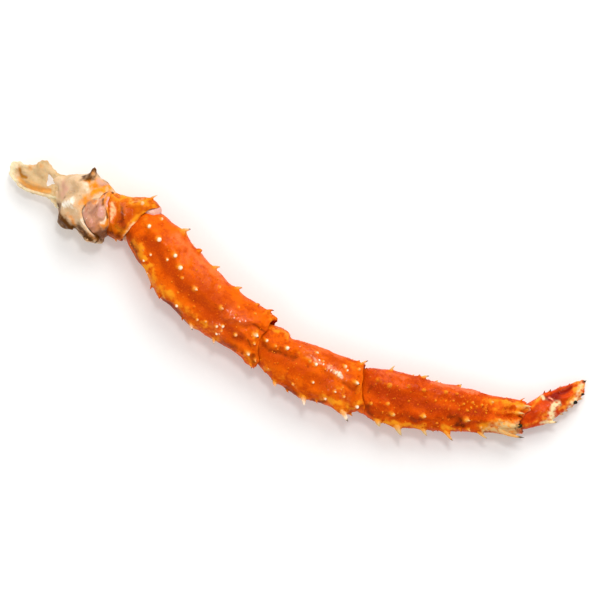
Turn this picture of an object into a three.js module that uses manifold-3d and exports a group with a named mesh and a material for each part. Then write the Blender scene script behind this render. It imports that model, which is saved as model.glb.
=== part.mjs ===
// One cooked king crab leg lying on its side: shoulder flap, coxa, ischium, merus, carpus,
// propodus and dactyl, with the two joint skins that show. Millimetres, +Z up, the floor at z = 0.
import * as THREE from 'three';
import { mergeVertices } from 'three/addons/utils/BufferGeometryUtils.js';
import Module from 'manifold-3d';

const wasm = await Module();
wasm.setup();

// ---------------------------------------------------------------- driving dimensions

// Where the leg bends, as [x, y] in the plane that it lies in.
const JOINTS = {
  root: [-206, 13],
  shoulder: [-172, 10],
  hip: [-136, 11],
  knee: [-114, 9],
  elbow: [-14, -35.5],
  wrist: [59.5, -42],
  ankle: [165, -22.5],
  tip: [196.5, 12.5],
};
const FOOTPRINT_CENTRE = [-5.4, -15.15]; // middle of the outline of the leg, over the origin
const GAP = 0.3; // air between two pieces that touch in the real leg
const SIDES = 18; // faces round a segment
const RINGS = 16; // bands along a segment
const SECTION_POWER = 2.4; // how square a segment's cross-section is: 2 is an ellipse
const BLUNT_END = 6; // how flat a segment's end is: 2 is a round end
const SPINE_SIDES = 5;
const EDGE_LEAN = 0.75; // radians that a spine on an edge leans towards the claw
const FACE_LEAN = 0.35; // and one on the broad face
const FACE_SHARE = 0.95; // past this share of the half breadth a spine counts as on the edge

const COLOURS = {
  flap: 0xe8c696,
  coxa: 0xd9b078,
  skin: 0xc98f80,
  ischium: 0xe07010,
  shell: 0xe0560a,
  claw: 0xd94f14,
};

// Each segment runs between two joints. near and far say how far along its two ends lie, first
// on the lower edge and then on the upper one. edges lists [along, lower edge, upper edge] and
// heights lists [along, underside, top]: along and across are millimetres from the segment's
// first joint, and heights are from the floor. rows lists the spines: side is the share of the
// half breadth, from -1 on the lower edge to 1 on the upper one, at is how far along, and below
// puts the row on the underside.
const FLAP = {
  from: 'root',
  to: 'shoulder',
  near: [-2, -6],
  far: [38, 38],
  edges: [
    [-4.7, 2.5, 8.3], [0, -2.2, 10], [4.5, -4.7, 9.3], [9, -5.8, 11.2], [13.5, -5.8, 16.6],
    [17, -5.6, 17.8], [22, -5, 15], [28, -4.4, 13.4], [34, -6.5, 14.2], [38, -7, 13.5],
  ],
  heights: [[-4.7, 8, 10.6], [16, 11, 13.8], [38, 14, 17.6]],
  rows: [],
};
const FLAP_WINDOW = { at: [24.6, 6.6], reach: 4.2, corner: 0.8 }; // tear through the flap

const COXA = {
  from: 'shoulder',
  to: 'hip',
  near: [-2, -4],
  far: [38.5, 36],
  edges: [
    [-4, -1, 13.5], [1, -9, 15.5], [7, -15.5, 17], [14, -17, 19.3], [20, -18.3, 19.6],
    [27, -21, 17.8], [33, -19.5, 14.5], [38.5, -14, 11],
  ],
  heights: [[-4, 7, 25], [6, 1.5, 30], [16, -0.5, 32], [28, 0, 31], [38.5, 3, 27]],
  rows: [
    { side: 1, at: [12.5, 16], length: 6.5, radius: 5, lean: 0.1 },
    { side: -1, at: [6, 10], length: 2.2, radius: 5, lean: -0.3 },
    { side: -1, at: [24.5, 30], length: 2, radius: 4.5, lean: 0.2 },
  ],
};

// The skin that closes the hip bulges out between the coxa's rim and the ischium's ring.
const HIP_MEMBRANE = {
  from: 'shoulder',
  to: 'hip',
  near: [14, 14],
  far: [39, 39],
  edges: [
    [13, -8.5, -4], [18, -12, -1.5], [24, -15.5, 3], [30, -17, 7.5], [35, -15.5, 9], [40, -11, 6],
  ],
  heights: [[13, 8, 29.5], [26, 5, 32], [40, 6, 27]],
  rows: [],
};

const ISCHIUM = {
  from: 'hip',
  to: 'knee',
  near: [5, -9],
  far: [12.5, 27.5],
  edges: [
    [-9, -10, 9.5], [-1, -12, 13], [6, -14.2, 14.8], [13, -13.7, 17.3], [20, -13, 19.5],
    [27, -12, 17],
  ],
  heights: [[-9, 4, 25.5], [8, 0.5, 28], [27, 2, 27]],
  rows: [
    { side: 1, at: [13.5], length: 5.5, radius: 1.3 },
    { side: 0.75, at: [12.5], length: 1.5, radius: 1.8 },
  ],
};

const KNEE_MEMBRANE = {
  from: 'hip',
  to: 'knee',
  near: [4, 8],
  far: [14.5, 29.5],
  edges: [[5, -10, 9], [12, -12.2, 13], [20, -12, 16.5], [29, -10, 15.5]],
  heights: [[5, 6, 22], [17, 3.5, 25.5], [29, 5, 24.5]],
  rows: [],
};

const MERUS = {
  from: 'knee',
  to: 'elbow',
  near: [-6.5, -6.5],
  far: [116.5, 106],
  edges: [
    [-6.5, -10.5, 10.5], [2, -14, 15], [12, -16.8, 16.6], [22, -19.3, 17.2], [32, -22.8, 15.2],
    [43, -24.3, 14.3], [55, -24.3, 13.8], [67, -23.8, 13.8], [80, -21.6, 14.8], [92, -18.8, 17],
    [102, -17.3, 19], [109, -16.5, 18], [116, -15, 15],
  ],
  heights: [
    [-6.5, 5, 23.5], [4, 1.5, 28.5], [20, 0, 31], [45, -0.5, 32.5], [70, -0.5, 32], [95, 0.5, 30.5],
    [111, 2, 28],
  ],
  rows: [
    { side: 1, at: [19.5, 36, 51, 71, 96], length: 5, radius: 2.3 },
    { side: 0.6, at: [5, 64, 82], length: 1.6, radius: 1.8 },
    { side: 0.25, at: [3, 14, 29, 37, 53, 74], length: 2, radius: 2 },
    { side: -0.5, at: [27, 42, 83, 93], length: 1.8, radius: 1.8 },
    { side: -0.8, at: [16, 52, 68, 80], length: 2.2, radius: 1.8 },
    { side: -1, at: [21, 37, 67, 83, 108], length: 3, radius: 2.2 },
    { side: 0.75, at: [30, 58, 84], length: 1.8, radius: 1.8, below: true },
    { side: -0.75, at: [24, 50, 76, 98], length: 1.8, radius: 1.8, below: true },
  ],
};

const CARPUS = {
  from: 'elbow',
  to: 'wrist',
  near: [-5, -7],
  far: [80, 68],
  edges: [
    [-7, -8.5, 9.5], [0, -11.5, 13], [6, -14.3, 13.8], [14, -17.3, 11.5], [22, -20, 11.7],
    [31, -20.7, 13], [41, -20.3, 14], [51, -19.4, 14.7], [61, -18.2, 15.4], [68, -16.8, 15],
    [74, -14.5, 13.4],
  ],
  heights: [
    [-7, 5, 22.5], [5, 1.8, 27], [20, 0.3, 28.5], [40, -0.5, 28.8], [60, 0, 28], [74, 1.5, 26.3],
  ],
  rows: [
    { side: 1, at: [64], length: 7, radius: 1.8 },
    { side: 0.5, at: [16, 35, 56], length: 2, radius: 2 },
    { side: 0, at: [34, 66], length: 2.2, radius: 2 },
    { side: -0.6, at: [30, 41, 53, 63], length: 2, radius: 1.8 },
    { side: -1, at: [17, 27, 39.5], length: 4, radius: 2.2 },
    { side: -1, at: [66], length: 9.5, radius: 2.2, lean: 0.6 },
    { side: 0.75, at: [18, 46], length: 1.8, radius: 1.8, below: true },
    { side: -0.75, at: [24, 52], length: 1.8, radius: 1.8, below: true },
  ],
};

const PROPODUS = {
  from: 'wrist',
  to: 'ankle',
  near: [-7, -7],
  far: [108.5, 110],
  edges: [
    [-7, -9.5, 9.5], [1, -14.3, 14.3], [9, -17.3, 15.8], [18, -19, 16.2], [28, -19.3, 15.4],
    [40, -18.6, 14.2], [52, -17.4, 13.3], [64, -15.8, 12.8], [76, -14.4, 11.6], [88, -13, 10.6],
    [100, -11.8, 10.6], [108, -10.3, 9.8],
  ],
  heights: [
    [-7, 5, 21.5], [5, 1.5, 25.5], [25, -0.5, 26.3], [50, -0.5, 25.3], [75, 0.8, 22.5],
    [100, 2.3, 20], [108, 3.2, 18.6],
  ],
  rows: [
    { side: 1, at: [15, 37, 101], length: 5.5, radius: 1.7 },
    { side: 0.5, at: [17, 40, 54, 85], length: 1.5, radius: 1.7 },
    { side: -0.25, at: [7, 18, 90], length: 1.5, radius: 1.8 },
    { side: -0.55, at: [22, 42, 71], length: 2.2, radius: 2.2 },
    { side: -1, at: [11, 25, 41], length: 5.5, radius: 2.3 },
    { side: -1, at: [57, 79], length: 8, radius: 2, lean: 1 },
    { side: -1, at: [92], length: 18, radius: 2, lean: 1.35 },
    { side: 0.75, at: [20, 48, 76], length: 1.6, radius: 1.7, below: true },
    { side: -0.75, at: [32, 62], length: 1.6, radius: 1.7, below: true },
  ],
};

const DACTYL = {
  from: 'ankle',
  to: 'tip',
  near: [-9, -9],
  far: [49, 49],
  edges: [
    [-9, -3, 4], [-4, -6.8, 6.3], [2, -8.7, 7], [9, -10.2, 6.6], [15, -10.9, 6.8], [21, -10, 7],
    [28, -9.3, 6], [35, -8.3, 5], [41, -6.2, 4.3], [46, -3.2, 3.6], [49, -1, 3],
  ],
  heights: [
    [-9, 7, 15], [0, 4.5, 17.5], [15, 4, 17.5], [30, 4.5, 15.8], [42, 5.5, 12.8], [49, 7.5, 10.5],
  ],
  blunt: [2.5, 2.5],
  rows: [
    { side: 1, at: [18, 23], length: 3.6, radius: 1.1 },
    { side: -1, at: [14], length: 5, radius: 1.2 },
    { side: -1, at: [26, 34.5, 40.5], length: 2.6, radius: 1.1 },
  ],
};

// ---------------------------------------------------------------- geometry

/** The value at a place, on a smooth curve through one column of rows whose first column rises. */
function curveThrough(rows, column, place) {
  const at = THREE.MathUtils.clamp(place, rows[0][0], rows.at(-1)[0]);
  let i = rows.findIndex((row) => row[0] > at) - 1;
  if (i < 0) i = rows.length - 2;
  const slope = (j) => {
    const before = rows[Math.max(j - 1, 0)];
    const after = rows[Math.min(j + 1, rows.length - 1)];
    return (after[column] - before[column]) / (after[0] - before[0]);
  };
  const [a, b] = [rows[i], rows[i + 1]];
  const span = b[0] - a[0];
  const t = (at - a[0]) / span;
  const bend = 3 * t * t - 2 * t * t * t;
  return a[column] * (1 - bend) + b[column] * bend
    + span * t * (1 - t) * (slope(i) * (1 - t) - slope(i + 1) * t);
}

/** Middle and half size of a segment's cross-section, across and up. */
function sectionAt(segment, along) {
  const low = curveThrough(segment.edges, 1, along);
  const high = curveThrough(segment.edges, 2, along);
  const under = curveThrough(segment.heights, 1, along);
  const over = curveThrough(segment.heights, 2, along);
  return {
    across: (low + high) / 2,
    up: (under + over) / 2,
    halfBreadth: (high - low) / 2,
    halfDepth: (over - under) / 2,
  };
}

/** Point of the squared-off circle |x|^p + |y|^p = 1 in the direction of (x, y). */
function squareOff(x, y) {
  const size = (Math.abs(x) ** SECTION_POWER + Math.abs(y) ** SECTION_POWER) ** (1 / SECTION_POWER);
  return size > 0 ? [x / size, y / size] : [0, 0];
}

/** Matrix that puts a segment's own frame, x along it and y across it, at its first joint. */
function placeOf(segment) {
  const [fromX, fromY] = JOINTS[segment.from];
  const [toX, toY] = JOINTS[segment.to];
  const turn = Math.atan2(toY - fromY, toX - fromX);
  return new THREE.Matrix4().makeRotationZ(turn).setPosition(fromX, fromY, 0);
}

/** How far along a point is, from its share of the way and its place between the two edges. */
function alongAt(segment, share, side) {
  const { lerp } = THREE.MathUtils;
  const onLowEdge = lerp(segment.near[0], segment.far[0], share);
  const onHighEdge = lerp(segment.near[1], segment.far[1], share);
  return lerp(onLowEdge, onHighEdge, (1 + side) / 2);
}

/** A segment's closed skin: a sphere whose rings are drawn out to the segment's sections. */
function skin(segment, swell = 0) {
  const [nearBlunt, farBlunt] = segment.blunt ?? [BLUNT_END, BLUNT_END];
  const geometry = new THREE.SphereGeometry(1, SIDES, RINGS);
  const position = geometry.attributes.position;
  for (let i = 0; i < position.count; i += 1) {
    const pole = position.getY(i); // 1 at the near end, -1 at the far end
    const blunt = pole > 0 ? nearBlunt : farBlunt;
    const fullness = Math.max(0, 1 - Math.abs(pole) ** blunt) ** (1 / blunt);
    const [side, rise] = squareOff(position.getX(i), position.getZ(i));
    const along = alongAt(segment, (1 - pole) / 2, side * fullness);
    const section = sectionAt(segment, along);
    position.setXYZ(
      i,
      along - swell * pole,
      section.across + (section.halfBreadth + swell) * side * fullness,
      section.up + (section.halfDepth + swell) * rise * fullness,
    );
  }
  return geometry;
}

/** Point on the upward face, on an edge or on the underside, and the direction outwards. */
function surfaceAt(segment, along, { side, below = false }) {
  const section = sectionAt(segment, along);
  const onEdge = Math.abs(side) > FACE_SHARE;
  const height = onEdge ? 0 : (1 - Math.abs(side) ** SECTION_POWER) ** (1 / SECTION_POWER);
  const rise = below ? -height : height;
  const point = new THREE.Vector3(
    along,
    section.across + section.halfBreadth * side,
    section.up + section.halfDepth * rise,
  );
  const outwards = new THREE.Vector3(
    0,
    (Math.sign(side) * Math.abs(side) ** (SECTION_POWER - 1)) / section.halfBreadth,
    (Math.sign(rise) * height ** (SECTION_POWER - 1)) / section.halfDepth,
  ).normalize();
  return { point, outwards };
}

/** A thorn with its foot sunk into the shell, leaning towards the claw. */
function spine(segment, along, row) {
  const { point, outwards } = surfaceAt(segment, along, row);
  const lean = row.lean ?? (Math.abs(row.side) > FACE_SHARE ? EDGE_LEAN : FACE_LEAN);
  const direction = outwards.multiplyScalar(Math.cos(lean));
  direction.x += Math.sin(lean);
  const foot = row.radius;
  const cone = new THREE.ConeGeometry(row.radius, row.length + foot, SPINE_SIDES);
  cone.translate(0, (row.length + foot) / 2 - foot, 0);
  const turn = new THREE.Quaternion().setFromUnitVectors(new THREE.Vector3(0, 1, 0), direction);
  cone.applyQuaternion(turn);
  cone.translate(point.x, point.y, point.z);
  return cone;
}

/** A three.js geometry as a manifold solid. */
function toSolid(geometry) {
  const bare = geometry.clone();
  bare.deleteAttribute('normal');
  bare.deleteAttribute('uv');
  const merged = mergeVertices(bare);
  return new wasm.Manifold(new wasm.Mesh({
    numProp: 3,
    vertProperties: new Float32Array(merged.attributes.position.array),
    triVerts: new Uint32Array(merged.index.array),
  }));
}

/** A manifold solid as a three.js geometry. */
function toGeometry(solid) {
  const { vertProperties, triVerts } = solid.getMesh();
  const geometry = new THREE.BufferGeometry();
  geometry.setAttribute('position', new THREE.BufferAttribute(vertProperties, 3));
  geometry.setIndex(new THREE.BufferAttribute(triVerts, 1));
  geometry.computeVertexNormals();
  return geometry;
}

/** A neighbour's skin, swollen by the gap and moved into this segment's frame. */
function roomFor(neighbour, segment) {
  const intoSegment = placeOf(segment).invert().multiply(placeOf(neighbour));
  return toSolid(skin(neighbour, GAP).applyMatrix4(intoSegment));
}

/** Everything below the floor, which cuts the small flat spots that the leg rests on. */
function floorBlock() {
  const [length, depth] = [600, 20];
  return toSolid(new THREE.BoxGeometry(length, length, depth).translate(0, 0, -depth / 2));
}

/** The torn window in the flap: a triangle with rounded corners, cut straight through. */
function windowCutter() {
  const { at, reach, corner } = FLAP_WINDOW;
  const triangle = new THREE.Shape();
  const corners = 3;
  for (let i = 0; i < corners; i += 1) {
    const turn = (i / corners) * 2 * Math.PI + Math.PI / 2;
    triangle.absarc(
      at[0] + (reach - corner) * Math.cos(turn),
      at[1] + (reach - corner) * Math.sin(turn),
      corner,
      turn - Math.PI / corners,
      turn + Math.PI / corners,
    );
  }
  const depth = 40;
  return toSolid(new THREE.ExtrudeGeometry(triangle, { depth, bevelEnabled: false, curveSegments: 3 }));
}

/** One piece of the leg: its skin and spines joined, then cut to clear the neighbours it holds. */
function piece(name, segment, colour, neighbours, cutters = []) {
  let solid = toSolid(skin(segment));
  for (const row of segment.rows) {
    for (const along of row.at) solid = solid.add(toSolid(spine(segment, along, row)));
  }
  for (const neighbour of neighbours) solid = solid.subtract(roomFor(neighbour, segment));
  for (const cutter of [floorBlock(), ...cutters]) solid = solid.subtract(cutter);
  const material = new THREE.MeshStandardMaterial({ color: colour, roughness: 0.4, metalness: 0 });
  const mesh = new THREE.Mesh(toGeometry(solid), material);
  mesh.name = name;
  mesh.applyMatrix4(placeOf(segment));
  return mesh;
}

// ---------------------------------------------------------------- the leg

const leg = new THREE.Group();
leg.position.set(-FOOTPRINT_CENTRE[0], -FOOTPRINT_CENTRE[1], 0);
leg.add(
  piece('shoulder_flap', FLAP, COLOURS.flap, [COXA], [windowCutter()]),
  piece('coxa', COXA, COLOURS.coxa, [HIP_MEMBRANE, ISCHIUM]),
  piece('hip_membrane', HIP_MEMBRANE, COLOURS.skin, [ISCHIUM]),
  piece('ischium', ISCHIUM, COLOURS.ischium, [KNEE_MEMBRANE, MERUS]),
  piece('knee_membrane', KNEE_MEMBRANE, COLOURS.skin, [MERUS]),
  piece('merus', MERUS, COLOURS.shell, [CARPUS]),
  piece('carpus', CARPUS, COLOURS.shell, [PROPODUS]),
  piece('propodus', PROPODUS, COLOURS.shell, [DACTYL]),
  piece('dactyl', DACTYL, COLOURS.claw, []),
);

export default leg;
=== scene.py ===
import math

import bpy
import numpy as np
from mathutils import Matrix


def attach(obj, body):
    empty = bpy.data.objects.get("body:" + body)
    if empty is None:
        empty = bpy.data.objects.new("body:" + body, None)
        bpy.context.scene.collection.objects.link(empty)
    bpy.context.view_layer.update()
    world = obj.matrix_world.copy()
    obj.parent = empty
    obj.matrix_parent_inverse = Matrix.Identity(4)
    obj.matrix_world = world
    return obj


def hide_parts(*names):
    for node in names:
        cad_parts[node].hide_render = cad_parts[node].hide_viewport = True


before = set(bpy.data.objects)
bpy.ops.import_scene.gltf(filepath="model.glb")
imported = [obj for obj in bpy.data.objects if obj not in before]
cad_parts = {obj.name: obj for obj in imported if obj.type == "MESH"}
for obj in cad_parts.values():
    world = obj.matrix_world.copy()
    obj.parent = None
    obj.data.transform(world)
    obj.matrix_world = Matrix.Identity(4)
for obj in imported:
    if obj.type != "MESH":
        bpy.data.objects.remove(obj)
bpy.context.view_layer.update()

# ------------------------------------------------------------------------ shoulder flap
# The torn plate of inner skeleton at the shoulder: thin, pale and cartilage-like, with a small
# window torn in it, a brown scorch mark, an orange stain and a strand of tendon along its lower
# edge. It grows out of the coxa and hangs just clear of what the leg lies on.

# Where the leg bends, in millimetres, and the middle of its outline, which is the origin.
JOINTS = {
    "root": (-206, 13),
    "shoulder": (-172, 10),
    "hip": (-136, 11),
    "knee": (-114, 9),
    "elbow": (-14, -35.5),
    "wrist": (59.5, -42),
    "ankle": (165, -22.5),
    "tip": (196.5, 12.5),
}
LEG_MIDDLE = (-5.4, -15.15)
FLOOR_AIR = 0.02  # millimetres between the leg and the surface that it rests on
WAVES = 26  # plane waves in a field of random lumps

# What the finishes read at each point: scorched places and painted shade, golden places, rosy
# places and painted sheen, pale places and painted glints, black tips, deep red tones and
# painted shade, and how wet the surface is.
MARKS = ("scorch_and_shade", "gold", "rose_and_sheen", "pale", "tip", "deep_tone_and_shade", "wet")


def smooth(x, low, high):
    """0 below low and 1 above high, with an even S-curve between them."""
    t = np.clip((x - low) / (high - low), 0, 1)
    return t * t * (3 - 2 * t)


def through(rows, column, x):
    """Smooth curve through a column over the rising first one: on each span, the cubic whose
    slope at a row is that of the line between the row's two neighbours."""
    rows = np.asarray(rows, float)
    at, value = rows[:, 0], rows[:, column]
    before = np.maximum(np.arange(len(at)) - 1, 0)
    after = np.minimum(np.arange(len(at)) + 1, len(at) - 1)
    slope = (value[after] - value[before]) / (at[after] - at[before])
    x = np.clip(x, at[0], at[-1])
    i = np.clip(np.searchsorted(at, x, side="right") - 1, 0, len(at) - 2)
    span = at[i + 1] - at[i]
    t = (x - at[i]) / span
    bend = t * t * (3 - 2 * t)
    lean = span * t * (1 - t) * (slope[i] * (1 - t) - slope[i + 1] * t)
    return value[i] * (1 - bend) + value[i + 1] * bend + lean


def lumps(points, length, seed):
    """Soft random lumps of about that length, from -2 to 2: the sum of plane waves that run in
    random directions with random phases."""
    dice = np.random.default_rng(seed)
    way = dice.normal(size=(WAVES, 3))
    way /= np.linalg.norm(way, axis=1, keepdims=True)
    pace = 2 * np.pi / (length * dice.uniform(0.75, 1.35, WAVES))
    phase = dice.uniform(0, 2 * np.pi, WAVES)
    total = np.zeros(points.shape[:-1])
    for wave in range(WAVES):
        total += np.cos(points @ (way[wave] * pace[wave]) + phase[wave])
    return total * math.sqrt(2 / WAVES)


def away(s, y, path):
    """Distance in the plane from each (s, y) to a path of one or more points."""
    path = np.asarray(path, float)
    nearest = np.hypot(s - path[0, 0], y - path[0, 1])
    for a, b in zip(path[:-1], path[1:]):
        step = b - a
        share = ((s - a[0]) * step[0] + (y - a[1]) * step[1]) / (step @ step)
        share = np.clip(share, 0, 1)
        gap = np.hypot(s - a[0] - share * step[0], y - a[1] - share * step[1])
        nearest = np.minimum(nearest, gap)
    return nearest


def rise_of(s, y, strokes):
    """Sum of rounded ridges. A stroke is the points of its path, half its width and its height."""
    total = np.zeros(np.shape(s))
    for *path, width, height in strokes:
        total += height * np.exp(-((away(s, y, path) / width) ** 2))
    return total


def stain_of(s, y, strokes):
    """Share from 0 to 1 that soft strokes cover together. A stroke is the points of its path,
    half its width and its strength."""
    bare = np.ones(np.shape(s))
    for *path, width, strength in strokes:
        bare *= 1 - strength * np.exp(-((away(s, y, path) / width) ** 2))
    return 1 - bare


def in_place(points, joints):
    """Points of a segment's frame, x along it from its first joint, in the leg's frame, with
    those that would lie below the floor raised to it."""
    (x0, y0), (x1, y1) = JOINTS[joints[0]], JOINTS[joints[1]]
    turn = math.atan2(y1 - y0, x1 - x0)
    along, across, up = points[..., 0], points[..., 1], points[..., 2]
    x = x0 - LEG_MIDDLE[0] + along * math.cos(turn) - across * math.sin(turn)
    y = y0 - LEG_MIDDLE[1] + along * math.sin(turn) + across * math.cos(turn)
    return np.stack([x, y, np.maximum(up, FLOOR_AIR)], axis=-1)


def net(rows, cols, torus):
    """Faces of a grid that is closed round its columns: also round its rows for a torus, and
    else drawn together to one point at each end."""
    c = np.arange(cols)
    d = (c + 1) % cols
    if torus:
        low = (np.arange(rows) * cols)[:, None]
        high = ((np.arange(rows) + 1) % rows * cols)[:, None]
        return [np.stack([low + c, low + d, high + d, high + c], -1).reshape(-1, 4)]
    low = 1 + (np.arange(rows - 3) * cols)[:, None]
    quads = np.stack([low + c, low + d, low + cols + d, low + cols + c], -1).reshape(-1, 4)
    last = 1 + (rows - 3) * cols
    end = last + cols
    start_fan = np.stack([np.zeros(cols, int), 1 + d, 1 + c], -1)
    end_fan = np.stack([np.full(cols, end), last + c, last + d], -1)
    return [quads, np.concatenate([start_fan, end_fan])]


def closed(grid, torus):
    """A stack of grids (many, rows, cols, ...) as rows of points, each end row as one point."""
    if torus:
        return grid.reshape(len(grid), -1, *grid.shape[3:])
    ends = [grid[:, row].mean(axis=1, keepdims=True) for row in (0, -1)]
    middle = grid[:, 1:-1].reshape(len(grid), -1, *grid.shape[3:])
    return np.concatenate([ends[0], middle, ends[1]], axis=1)


def volume_of(points, faces):
    """Six times the volume inside faces, negative where they are turned inwards: the sum over
    their triangles of the cross product of two edges, times a corner."""
    total = 0
    for second in range(1, faces.shape[1] - 1):
        a, b, c = (points[faces[:, k]] for k in (0, second, second + 1))
        total += (np.cross(b - a, c - a) * a).sum()
    return total


def joined(skins):
    """Points, corners of faces, sizes of faces and marks of closed skins together. A skin is a
    dict: points (many, rows, cols, 3) in millimetres, torus, and marks, each one value or one
    for every point. Faces are turned outwards."""
    points, loops, sizes, marks = [], [], [], {mark: [] for mark in MARKS}
    base = 0
    for skin in skins:
        torus = skin.get("torus", False)
        grid = skin["points"]
        flat = closed(grid, torus)
        kinds = net(grid.shape[1], grid.shape[2], torus)
        inverted = sum(volume_of(flat[0], faces) for faces in kinds) < 0
        shifts = base + np.arange(len(flat))[:, None, None] * flat.shape[1]
        for faces in kinds:
            faces = faces[:, ::-1] if inverted else faces
            loops.append((faces[None] + shifts).reshape(-1))
            sizes.append(np.full(len(faces) * len(flat), faces.shape[1]))
        points.append(flat.reshape(-1, 3))
        for mark in MARKS:
            values = np.broadcast_to(skin["marks"].get(mark, 0.0), grid.shape[:3])
            marks[mark].append(closed(values[..., None], torus).reshape(-1))
        base += flat.shape[0] * flat.shape[1]
    marks = {mark: np.concatenate(values) for mark, values in marks.items()}
    return np.concatenate(points), np.concatenate(loops), np.concatenate(sizes), marks


def add_piece(name, skins, finish):
    """One mesh object from closed skins, with its marks as attributes of the points."""
    points, loops, sizes, marks = joined(skins)
    mesh = bpy.data.meshes.new(name)
    mesh.vertices.add(len(points))
    mesh.vertices.foreach_set("co", (points / 1000).astype(np.float32).reshape(-1))
    mesh.loops.add(len(loops))
    mesh.loops.foreach_set("vertex_index", loops.astype(np.int32))
    mesh.polygons.add(len(sizes))
    starts = np.concatenate([[0], np.cumsum(sizes)[:-1]])
    mesh.polygons.foreach_set("loop_start", starts.astype(np.int32))
    mesh.update(calc_edges=True)
    for mark, values in marks.items():
        layer = mesh.attributes.new(mark, "FLOAT", "POINT")
        layer.data.foreach_set("value", values.astype(np.float32))
    mesh.shade_smooth()
    mesh.materials.append(finish)
    piece = bpy.data.objects.new(name, mesh)
    bpy.context.scene.collection.objects.link(piece)
    return piece


def tone(code):
    """Linear colour of a hex code, as (red, green, blue, 1)."""
    parts = [int(code[i:i + 2], 16) / 255 for i in (0, 2, 4)]
    linear = [p / 12.92 if p <= 0.04045 else ((p + 0.055) / 1.055) ** 2.4 for p in parts]
    return (*linear, 1.0)


class Wire:
    """An output socket of a finish. A sum, product or other expression adds Math nodes."""

    def __init__(self, finish, socket):
        self.finish = finish
        self.socket = socket

    def maths(self, operation, *values):
        return self.finish.node("ShaderNodeMath", {"operation": operation}, dict(enumerate(values)))

    def __add__(self, other):
        return self.maths("ADD", self, other)

    def __sub__(self, other):
        return self.maths("SUBTRACT", self, other)

    def __rsub__(self, other):
        return self.maths("SUBTRACT", other, self)

    def __mul__(self, other):
        return self.maths("MULTIPLY", self, other)

    __radd__ = __add__
    __rmul__ = __mul__

    def between(self, low, high):
        """0 at low, 1 at high and an S-curve between."""
        settings = {"interpolation_type": "SMOOTHSTEP"}
        inputs = {"Value": self, "From Min": low, "From Max": high}
        return self.finish.node("ShaderNodeMapRange", settings, inputs)


class Finish:
    """A material under construction. node() adds any node from its type, its settings and the
    values or wires of its sockets."""

    def __init__(self, name):
        self.material = bpy.data.materials.new(name)
        self.material.use_nodes = True
        self.tree = self.material.node_tree
        self.tree.nodes.clear()
        self.place = self.node("ShaderNodeTexCoord", {}, {}, "Object")

    def node(self, kind, settings, inputs, output=0):
        made = self.tree.nodes.new(kind)
        for key, value in settings.items():
            setattr(made, key, value)
        for key, value in inputs.items():
            if isinstance(value, Wire):
                self.tree.links.new(value.socket, made.inputs[key])
            else:
                made.inputs[key].default_value = value
        return Wire(self, made.outputs[output]) if made.outputs else None

    def noise(self, millimetres, detail=2.0, roughness=0.5):
        """Cloudy noise about 0.5, with lumps of that size."""
        inputs = {"Vector": self.place, "Scale": 1000 / millimetres, "Detail": detail}
        return self.node("ShaderNodeTexNoise", {}, {**inputs, "Roughness": roughness})

    def grains(self, millimetres):
        """Distance from the middle of the nearest of many scattered grains."""
        inputs = {"Vector": self.place, "Scale": 1000 / millimetres}
        return self.node("ShaderNodeTexVoronoi", {"feature": "F1"}, inputs)

    def mark(self, name):
        return self.node("ShaderNodeAttribute", {"attribute_name": name}, {}, "Fac")

    def blend(self, below, above, share):
        settings = {"data_type": "RGBA", "blend_type": "MIX"}
        return self.node("ShaderNodeMix", settings, {0: share, 6: below, 7: above}, 2)

    def close(self, colour, roughness, height, bump_mm, constants, coat=None):
        """Ends in a Principled BSDF, with a bump of that many millimetres."""
        settings = {"Height": height, "Strength": 1.0, "Distance": bump_mm / 1000}
        normal = self.node("ShaderNodeBump", {}, settings)
        inputs = {"Base Color": colour, "Roughness": roughness, "Normal": normal, **constants}
        if coat is not None:
            inputs["Coat Weight"] = coat
        shader = self.node("ShaderNodeBsdfPrincipled", {}, inputs)
        self.node("ShaderNodeOutputMaterial", {}, {"Surface": shader})
        return self.material


def layered(
    name, base, under, layers, rough, bump_mm, constants, grain_mm=1.3, coat=0.0, grain_tint=0.0,
):
    """A natural skin: a mottled base between two tones, then a ragged-edged layer for the tone
    of each mark, fine grains that keep the base tone, patchy gloss and a wet coat where the
    marks say."""
    finish = Finish(name)
    broad, fine = finish.noise(9, 3), finish.noise(2.2, 3, 0.6)
    raised = 1 - finish.grains(grain_mm).between(0.1, 0.55)
    cloud = (broad * 0.6 + fine * 0.4).between(0.36, 0.62)
    colour = finish.blend(tone(under), tone(base), cloud)
    ragged = (fine - 0.5) * 0.9 + (broad - 0.5) * 0.7
    for mark, shade in layers.items():
        share = finish.mark(mark)
        cover = (share + ragged * (share * (1 - share) * 4)).between(0.05, 0.95)
        colour = finish.blend(colour, tone(shade), cover)
        if mark == "deep_tone_and_shade":
            colour = finish.blend(colour, tone(base), raised * grain_tint)
    height = raised * 0.6 + fine * 0.5 + finish.noise(0.7, 2) * 0.25
    roughness = fine * 0.22 + (rough - 0.11) - finish.mark("wet") * 0.08
    wet = finish.mark("wet") * 0.3 + coat * broad.between(0.3, 0.7)
    return finish.close(colour, roughness, height, bump_mm, constants, wet)


def fleshy(share, gloss, coat_roughness):
    """Constants of a skin that a share of the light enters, red light the deepest."""
    return {
        "Subsurface Weight": share, "Subsurface Radius": (0.004, 0.002, 0.001),
        "Subsurface Scale": 0.6, "Specular IOR Level": gloss, "Coat Roughness": coat_roughness,
    }


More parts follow.
